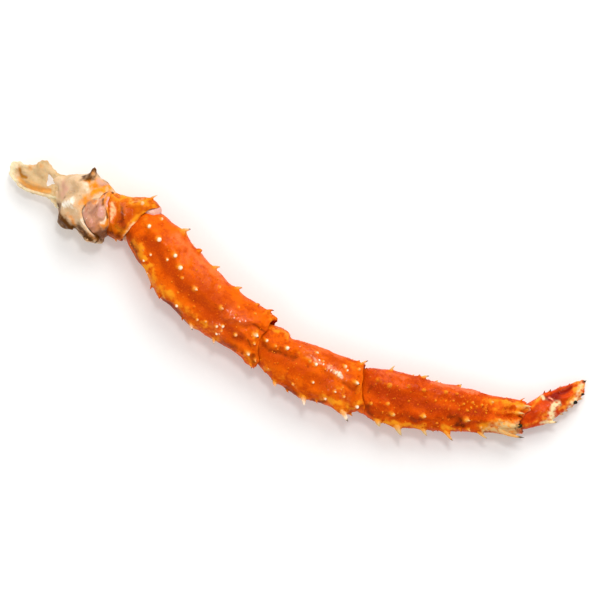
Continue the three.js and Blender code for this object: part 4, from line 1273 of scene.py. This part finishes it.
PROPODUS = {
    "joints": ("wrist", "ankle"),
    "seed": 35,
    "near": [(-1, 3.5, 2), (-0.8, 3.2, 0), (-0.4, 0.6, -3), (0, -1.6, -4), (0.5, -2.4, -4), (1, -3, -4)],
    "far": [
        (-1, 108.4, 108), (-0.72, 107.6, 107.4), (-0.4, 105.5, 108), (-0.1, 105.8, 108), (0.16, 107.6, 107),
        (0.4, 108, 107), (0.62, 110.8, 108), (0.8, 109.5, 109), (1, 107, 107),
    ],
    "edges": [
        (-7, -10, 12.6), (-3, -12.5, 14.4), (1, -14.9, 15.3), (5, -16.4, 15.7), (9, -17.7, 16.1),
        (13, -18.6, 16.6), (18, -19.2, 16.4), (24, -19.6, 15.7), (30, -19.5, 15.6), (36, -18.9, 15.2),
        (42, -18.6, 14), (48, -18.4, 13.6), (54, -17.8, 13.2), (60, -16.8, 13.4), (66, -16, 12.9),
        (72, -15.3, 12.4), (78, -14.8, 11.7), (84, -14.2, 10.9), (90, -13.5, 10.9), (97, -12.8, 11.1),
        (104, -11.6, 10.9), (108, -10.8, 10.2), (111, -10.2, 9.6),
    ],
    "heights": [
        (-7, 5, 22.5), (5, 1.5, 26), (25, -0.5, 26.6), (50, -0.5, 25.5), (75, 0.8, 22.7), (100, 2.3, 20.2),
        (111, 3.2, 18.6),
    ],
    "ragged": 0.7,
    "lip_pale": 0.6,
    "lip_where": [((110, 7), 2.6, 1), ((106, 2.4), 1.6, 0.8)],
    "speckles_and_glints": {"gold": [((58, 3), (84, 2), 8, 0.42)]},
    "neck_inset": 0.8,
    "relief": [
        ((8, 7.9), (17, 7.5), (30, 8), (54, 7.5), (62, 8), (85, 6.8), 2.6, 0.5),
        ((6, -6.5), (18, -8), (24, -11.6), (42, -9.8), (70, -7.6), (86, -6), 2.8, 0.7),
        ((12, 1), (30, 0.6), (55, 0.4), (76, 1), 3.6, -0.5),
        ((14, -14.6), (34, -14.4), (52, -12.6), 1.9, -0.8), ((66, -11), (76, -10), (84, -9), 2.2, -0.8),
        ((94, 6.2), (102, 6.8), (110, 7.6), 1.5, 0.9), ((96, 1.6), (105, 2.4), 1.3, 0.8),
        ((95, 4), (106, 4.8), 0.9, -0.7), ((93, -1), (104, -1.6), 1.2, -0.6),
        ((94, -5), (105, -5.4), 1.7, 0.9), ((92, -9.6), (107, -9.2), 1.5, 0.5),
        ((3, 12), (8, 13), 2.6, 0.4), ((5, -10), (4, -4), 1.2, -0.5),
    ],
    "stains": {
        "scorch_and_shade": [
            ((4, -9.5), (6, -13), (9, -14), 1.9, 0.65), ((3, 0), (5, 4), 1.5, 0.4),
            ((12, -12), (18, -12.5), 1.8, 0.4), ((34, -13), (41, -12.5), 2, 0.6), ((30, -9), 2, 0.4),
            ((58, -6.6), (66, -7), 2.4, 0.7), ((64, -11.8), (69, -11.6), 2, 0.9),
            ((74, -1.4), (79, -5.4), 1.9, 0.25), ((80, -13.6), (88, -13.4), 1.2, 0.6),
            ((90.5, -1), 1.8, 0.5), ((103, 0.2), (107, -1.6), 1.1, 0.75), ((50, -15), 1.8, 0.5),
            ((39.4, -11.4), 1.1, 0.7), ((66, -9), 1.2, 0.7),
            ((106.5, -2.6), (107.2, -6), (108, -9), 1.2, 0.8), ((19.4, -13.4), 1, 0.6),
        ],
        "gold": [
            ((12, -17.6), (26, -18), 2.2, 0.9), ((26, -18), (44, -17), 1.8, 0.75),
            ((56, -15), (62, -15), 1.8, 0.85), ((80, -11), (90, -10.5), 2.4, 0.75),
            ((82, 8), (94, 8.4), (104, 7), 2.6, 0.5), ((88, 3), (103, 4), 2.6, 0.45),
            ((82, -9), (92, -6), (100, -4), 3, 0.6), ((94, 7), (108, 7), 1.8, 0.5),
            ((98, 2.4), (105, 2.6), 1.4, 0.5), ((38, 3), (52, 5), 3, 0.15), ((8, 8), (17, 7), 2, 0.35),
            ((100, -7), 2.5, 0.4), ((76, 2), (84, 3), 2, 0.35),
        ],
        "rose_and_sheen": [
            ((6, 13.5), (19, 14), (24, 13), 1.8, 0.36), ((24, 12.5), (36, 14), 1.6, 0.2),
            ((44, 12.6), (60, 12.4), (74, 10.6), 1.5, 0.62), ((12, -2), (17, -4.6), 1.4, 0.25),
        ],
        "pale": [
            ((102, 6.8), (109, 7.5), 1.1, 0.35), ((100, 2.1), (105, 2.6), 0.9, 0.25),
            ((87, -9), (92, -8), 2.8, 0.5), ((94, -8), (98, -7), (105, -7), 3, 0.8),
            ((82, -12.6), (92, -11.4), (104, -11), 2.2, 0.7),
        ],
        # The deep strokes are painted shade.
        "deep_tone_and_shade": [
            ((5, 4), (18, 1), (26, -4), 4.8, 0.95), ((46, -4), (60, -5), (80, -1), 3.8, 0.85),
            ((22, 2), (34, -1), (46, -2), 4, 0.7), ((60, 5), (74, 5), 3, 0.4),
            ((66, -10), (72, -11), 3, 0.7), ((30, -11), (40, -13), 3, 0.5),
        ],
        "wet": [((10, 10), (60, 10), 5, 0.3)],
    },
    "thorns": [
        (15.6, 15.8, 17.9, 19.8, 0.8, 1.25, 1, 0.2), (36.4, 14.6, 41.6, 16.8, 0.6, 1.5, 1, 1),
        (34, 15, 35.4, 16.8, 0.4, 0.8, 0.4, 0.9), (60.6, 13, 62.4, 14.4, 0.6, 1.1, 0.4, 0),
        (8.1, 8.6, 9.6, 8.8, 0.9, 1.5, 0.3, 0), (15.8, 6.6, 18.2, 6.9, 1.2, 1.6, 0.5, 0.1),
        (28.8, 8, 30.2, 8.1, 0.8, 1.3, 0.3, 0), (38.8, 7.1, 40.8, 7.2, 1, 1.4, 0.4, 0),
        (53.2, 8, 55.2, 8.1, 1, 1.3, 0.5, 0), (60.8, 8.1, 62.4, 8.2, 0.8, 1.2, 0.35, 0),
        (6, -7.1, 7.4, -7.3, 1, 1.2, 0.5, 0), (17, -5.3, 18.5, -5.4, 0.9, 1.1, 0.6, 0),
        (20.8, -11.7, 23.4, -12, 1.5, 1.55, 0.8, 0), (40.8, -9.6, 43.8, -9.8, 1.6, 1.6, 0.8, 0),
        (69, -7.4, 73, -7.6, 1.6, 1.6, 0.8, 0.2), (30.6, -1.6, 31.4, -1.6, 0.5, 0.8, 0.3, 0),
        (12, -17, 15, -21.4, 0.4, 2.6, 1, 0), (24.6, -18, 30, -25, 0.2, 3.2, 1, 0.05),
        (42, -17.2, 46.4, -22.4, 0.2, 2.3, 1, 0.3), (56.4, -16, 64, -22.8, 0, 2.1, 0.85, 0.7),
        (57.4, -15.6, 59.6, -17.4, 0.6, 1.5, 0.4, 0), (79, -14, 86.2, -17.6, 0, 1.8, 0.95, 0),
        (72, -13.4, 74.4, -14.8, 0.6, 1.1, 0.7, 0), (92, -11.2, 110.2, -12.8, 0.4, 2.2, 0.8, 0.9),
        (84.4, 6.7, 86.4, 6.8, 0.9, 1.2, 0.7, 0), (89.6, -4.5, 91.6, -4.6, 1, 1.2, 0.6, 0),
        (80.2, -10.8, 81.4, -11.1, 1, 1.1, 0.8, 0), (103, 10.2, 106.4, 13, 0.8, 0.8, 0.3, 1),
        (104, 7.2, 111.6, 7.9, 0.9, 1.35, 1, 0), (100.8, 2.4, 107.4, 2.8, 1, 1.3, 0.95, 0),
        (92.6, -7.4, 106, -5.4, 2.2, 3.4, 0.75, 0.6), (105, -5.3, 107.2, -5.1, 2, 1.7, 0, 2),
        (105.4, -8.4, 108.2, -8.6, 0.4, 1.5, 0.1, 1.4), (48, 1.8, 48.8, 1.8, 0.6, 0.75, 0.4, 0),
        (59.6, 3.6, 60.5, 3.6, 0.6, 0.75, 0.5, 0), (66.6, 2.6, 67.5, 2.6, 0.7, 0.8, 0.5, 0),
        (72.4, 4.4, 73.3, 4.4, 0.7, 0.8, 0.5, 0), (78.6, 3.8, 79.6, 3.8, 0.7, 0.85, 0.5, 0),
        (70, -1.4, 70.9, -1.4, 0.7, 0.8, 0.5, 0), (82, 0.6, 83, 0.6, 0.7, 0.8, 0.5, 0),
        (64, -1.6, 64.9, -1.6, 0.6, 0.7, 0.4, 0), (51, -12.8, 52.4, -13.2, 0.8, 1, 0.4, 0),
        (95.2, -6.6, 96.2, -6.6, 0.8, 0.9, 0.9, 0), (66.6, -13.8, 68.6, -16.2, 0, 1.2, 0.3, 0.2),
    ],
    "under": [
        (14, 0.86), (30, 0.9), (46, 0.86), (62, 0.9), (78, 0.86), (94, 0.88), (16, -0.88), (32, -0.86),
        (48, -0.9), (64, -0.86), (80, -0.9), (96, -0.86), (38, 0.72), (58, -0.72),
    ],
    "warts": 330,
    "grainy": 0.2,
}
propodus_finish = layered(
    "propodus_shell", "DA5202", "B43600",
    {**SHELL_ORANGE, "pale": "D8B47A", "deep_tone_and_shade": "A83202", "rose_and_sheen": "E87448"},
    rough=0.4, bump_mm=0.16, constants=SHELL_SURFACE, grain_tint=0.4,
)
propodus = segment("propodus_shell", PROPODUS, step=0.42, cols=220, finish=propodus_finish)
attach(propodus, "root")
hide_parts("propodus")

# ------------------------------------------------------------------------ dactyl
# The hooked claw, hard horny shell that is red on the back, cream along its inner edge and
# black at the tip and on the spikes that line both edges. It turns in the propodus's rim.

DACTYL = {
    "joints": ("ankle", "tip"),
    "seed": 36,
    "near": [(-1, -4, -4), (0, -5, -5), (1, -4, -4)],
    "far": [(-1, 42.5, 42.5), (-0.3, 45, 45), (0.4, 46, 46), (1, 45, 45)],
    "edges": [
        (-12, -3, 4), (-8, -5.4, 5.4), (-4, -7.2, 6.4), (0, -8.4, 7), (4, -9.4, 7), (9, -10.4, 6.8),
        (14, -11, 7), (18, -10.6, 7.4), (22, -9.6, 7.2), (27, -9.4, 6.2), (31, -8.9, 5.6), (35, -8.2, 4.9),
        (39, -6.9, 4.5), (43, -4.8, 4.1), (46, -2.4, 3.7), (49, 0.2, 3.2),
    ],
    "heights": [
        (-12, 6.5, 15), (0, 4.5, 17.5), (12, 4, 17.8), (20, 4.5, 17), (30, 4.5, 15.6), (42, 5.5, 12.8),
        (49, 7.4, 10.6),
    ],
    "tip": 2.4,
    "neck_inset": 0.4,
    "relief": [
        ((-2, 2), (8, 0), (18, -1), 2.2, 0.5), ((20, 6), (22, 2), (20, -5), 1.6, 0.9),
        ((24, 4.5), (34, 2), (42, 1.6), 1.8, -1), ((26, -1), (34, -2), (41, -0.6), 1.6, 0.9),
        ((28, -6), (36, -5.4), (42, -2), 1.6, 0.3), ((24, -4), (32, -4.8), 1, -0.6),
        ((12, -7), (18, -9), 2, 0.5), ((2, -4), (12, -5), 1.6, -0.6), ((30, 5), (42, 3.8), 1.4, 0.5),
    ],
    "stains": {
        "scorch_and_shade": [
            ((25.6, -4.4), 1, 0.7), ((14, -6), (15.6, -9), 1, 0.35), ((47, 2.6), 1.6, 0.3),
            ((28, 5), (40, 3.4), 1, 0.4), ((-6, -6), (-6, 6), 2.4, 0.6), ((15, -10.8), 1.2, 0.3),
            ((21, 1), (24, 2), 1.4, 0.35),
        ],
        "gold": [
            ((0, -5), (12, -7.6), 2, 0.6), ((9, 4.6), (16, 5.6), 1.8, 0.65), ((42, 1), (50, 3.4), 4.4, 1),
            ((35, -5), (42, -2), 2.6, 0.8), ((11, -4), (15, -3), 2.4, 0.6), ((24, -6), (32, -5), 2.2, 0.6),
            ((46, 2), 2, 0.6),
        ],
        # The second rose stroke and the second pale stroke on the line after next are a painted highlight
        # on the red back.
        "rose_and_sheen": [((13, -2), (15, -1), 1, 0.35), ((21.2, 3.8), (22.6, 1.2), 1, 0.8), ((8, -4), 1, 0.3)],
        "pale": [
            ((17.9, 6.4), (18.2, 4), 1.3, 0.85), ((21.4, 3.6), (22.4, 2), 0.45, 0.7),
            ((21.4, -2.2), (19, -5), (16.8, -9.6), 2.9, 0.95), ((20.6, -2), (25.4, -3.4), 1.6, 0.9),
            ((24, -9.4), (31, -8), (36, -6.4), 1.5, 0.7),
            ((34, -6), (38, -4.6), (42, -2.4), (45.5, 1), 1.9, 0.55), ((8, -9.6), (16, -11), 1.7, 0.7),
            ((43, 0.6), (46.4, 1.4), 1.8, 0.3),
        ],
        "deep_tone_and_shade": [
            ((20.6, 3.8), (25.4, 1.4), 2.6, 1), ((25, 2.8), (32, 3), (38, 3), 1.9, 0.85),
            ((3, 3), (9, -1), 3, 0.35), ((6, 1), (12, 2), 2.6, 0.25), ((24.4, 0.2), (28, -0.4), 1.6, 0.4),
        ],
        "tip": [((47.4, 2.5), 1.8, 0.9)],
        "wet": [((4, 0), (40, 0), 8, 0.2)],
    },
    "thorns": [
        (19.2, 6.8, 21, 9, 1, 0.95, 0.2, 1.5), (23, 6.4, 25, 8, 1, 0.95, 0.2, 1.5),
        (12, -9.6, 18.8, -13.2, 0.2, 1.8, 0.8, 0.8), (26, -8.6, 28.4, -10, 0.8, 1.2, 0.4, 1.5),
        (34.2, -6.6, 36.4, -7.8, 1.3, 1.5, 0, 1.95), (41, -4.4, 43.2, -5.4, 1, 1.25, 0.1, 1.8),
        (30.6, 5.2, 32.2, 6.2, 0.8, 0.7, 0.2, 1.4), (36.4, 4.4, 38, 5.2, 0.8, 0.7, 0.2, 1.3),
        (24.6, -3.2, 26.4, -3.6, 1.2, 1, 0.4, 1.4),
    ],
    "under": [(22, 0.85), (30, 0.85), (22, -0.85), (31, -0.85), (38, -0.8)],
    "warts": 24,
}
claw_finish = layered(
    "claw_shell", "DC4C00", "C23400",
    {"gold": "EE982A", "deep_tone_and_shade": "8A1602", "rose_and_sheen": "EE6E5C", "pale": "F0D6A2", "scorch_and_shade": "702606",
     "tip": "1E1A12"},
    rough=0.34, bump_mm=0.12, constants={**SHELL_SURFACE, "Specular IOR Level": 0.05},
)
dactyl = segment("dactyl_claw", DACTYL, step=0.25, cols=180, finish=claw_finish)
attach(dactyl, "root")
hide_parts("dactyl")

# ------------------------------------------------------------------------ studio
# A plain pale floor that the leg lies on, a large soft window light from the upper right, a
# smaller one nearly overhead for the glints on the wet shell, and an even dim sky.

CORNER = 4.0  # metres from the middle of the square floor to each of its sides
floor_mesh = bpy.data.meshes.new("floor")
floor_mesh.from_pydata(
    [(-CORNER, -CORNER, 0), (CORNER, -CORNER, 0), (CORNER, CORNER, 0), (-CORNER, CORNER, 0)],
    [], [(0, 1, 2, 3)],
)
floor_finish = Finish("pale_floor")
grain = floor_finish.noise(3, 4)
floor_shade = floor_finish.blend(tone("F4F4F3"), tone("F7F7F6"), grain)
floor_mesh.materials.append(
    floor_finish.close(floor_shade, grain * 0.1 + 0.8, grain, 0.02, {"Specular IOR Level": 0.1})
)
floor = bpy.data.objects.new("floor", floor_mesh)
bpy.context.scene.collection.objects.link(floor)

CAMERA_TURN = math.radians(20)  # the camera is turned by this much about the upright axis


def soft_light(name, across, ahead, height, size, watts, colour):
    """A square soft light at a place in the camera's frame (to the right, up its view, and above
    the floor, in metres), aimed at the middle of the leg."""
    data = bpy.data.lights.new(name, "AREA")
    data.size = size
    data.energy = watts
    data.color = colour
    light = bpy.data.objects.new(name, data)
    x = across * math.cos(CAMERA_TURN) - ahead * math.sin(CAMERA_TURN)
    y = across * math.sin(CAMERA_TURN) + ahead * math.cos(CAMERA_TURN)
    light.location = (x, y, height)
    light.rotation_euler = (-light.location).to_track_quat("-Z", "Y").to_euler()
    bpy.context.scene.collection.objects.link(light)


soft_light("window", 0.5, 1.3, 1.1, size=1.3, watts=23.5, colour=(1.0, 0.99, 0.97))
soft_light("overhead", 0.12, 0.55, 1.6, size=0.26, watts=6, colour=(1.0, 1.0, 1.0))
soft_light("fill", -0.9, -1.0, 1.3, size=1.4, watts=9, colour=(1.0, 0.99, 0.98))

SKY_STRENGTH = 0.56
world = bpy.data.worlds.new("sky")
world.use_nodes = True
background = world.node_tree.nodes["Background"]
background.inputs["Color"].default_value = (1.0, 1.0, 1.0, 1.0)
background.inputs["Strength"].default_value = SKY_STRENGTH
bpy.context.scene.world = world
bpy.context.scene.view_settings.view_transform = "Standard"

VIEW_WIDTH = 0.396  # metres across the camera's view, half way up the leg
HALF_WAY_UP = 0.015
CAMERA_HEIGHT = 3.0
SENSOR = 36.0
camera_data = bpy.data.cameras.new("camera")
camera_data.sensor_width = SENSOR
camera_data.lens = SENSOR * (CAMERA_HEIGHT - HALF_WAY_UP) / VIEW_WIDTH
camera = bpy.data.objects.new("camera", camera_data)
camera.location = (-LEG_MIDDLE[0] / 1000, -LEG_MIDDLE[1] / 1000, CAMERA_HEIGHT)
camera.rotation_euler = (0, 0, CAMERA_TURN)
bpy.context.scene.collection.objects.link(camera)
bpy.context.scene.camera = camera
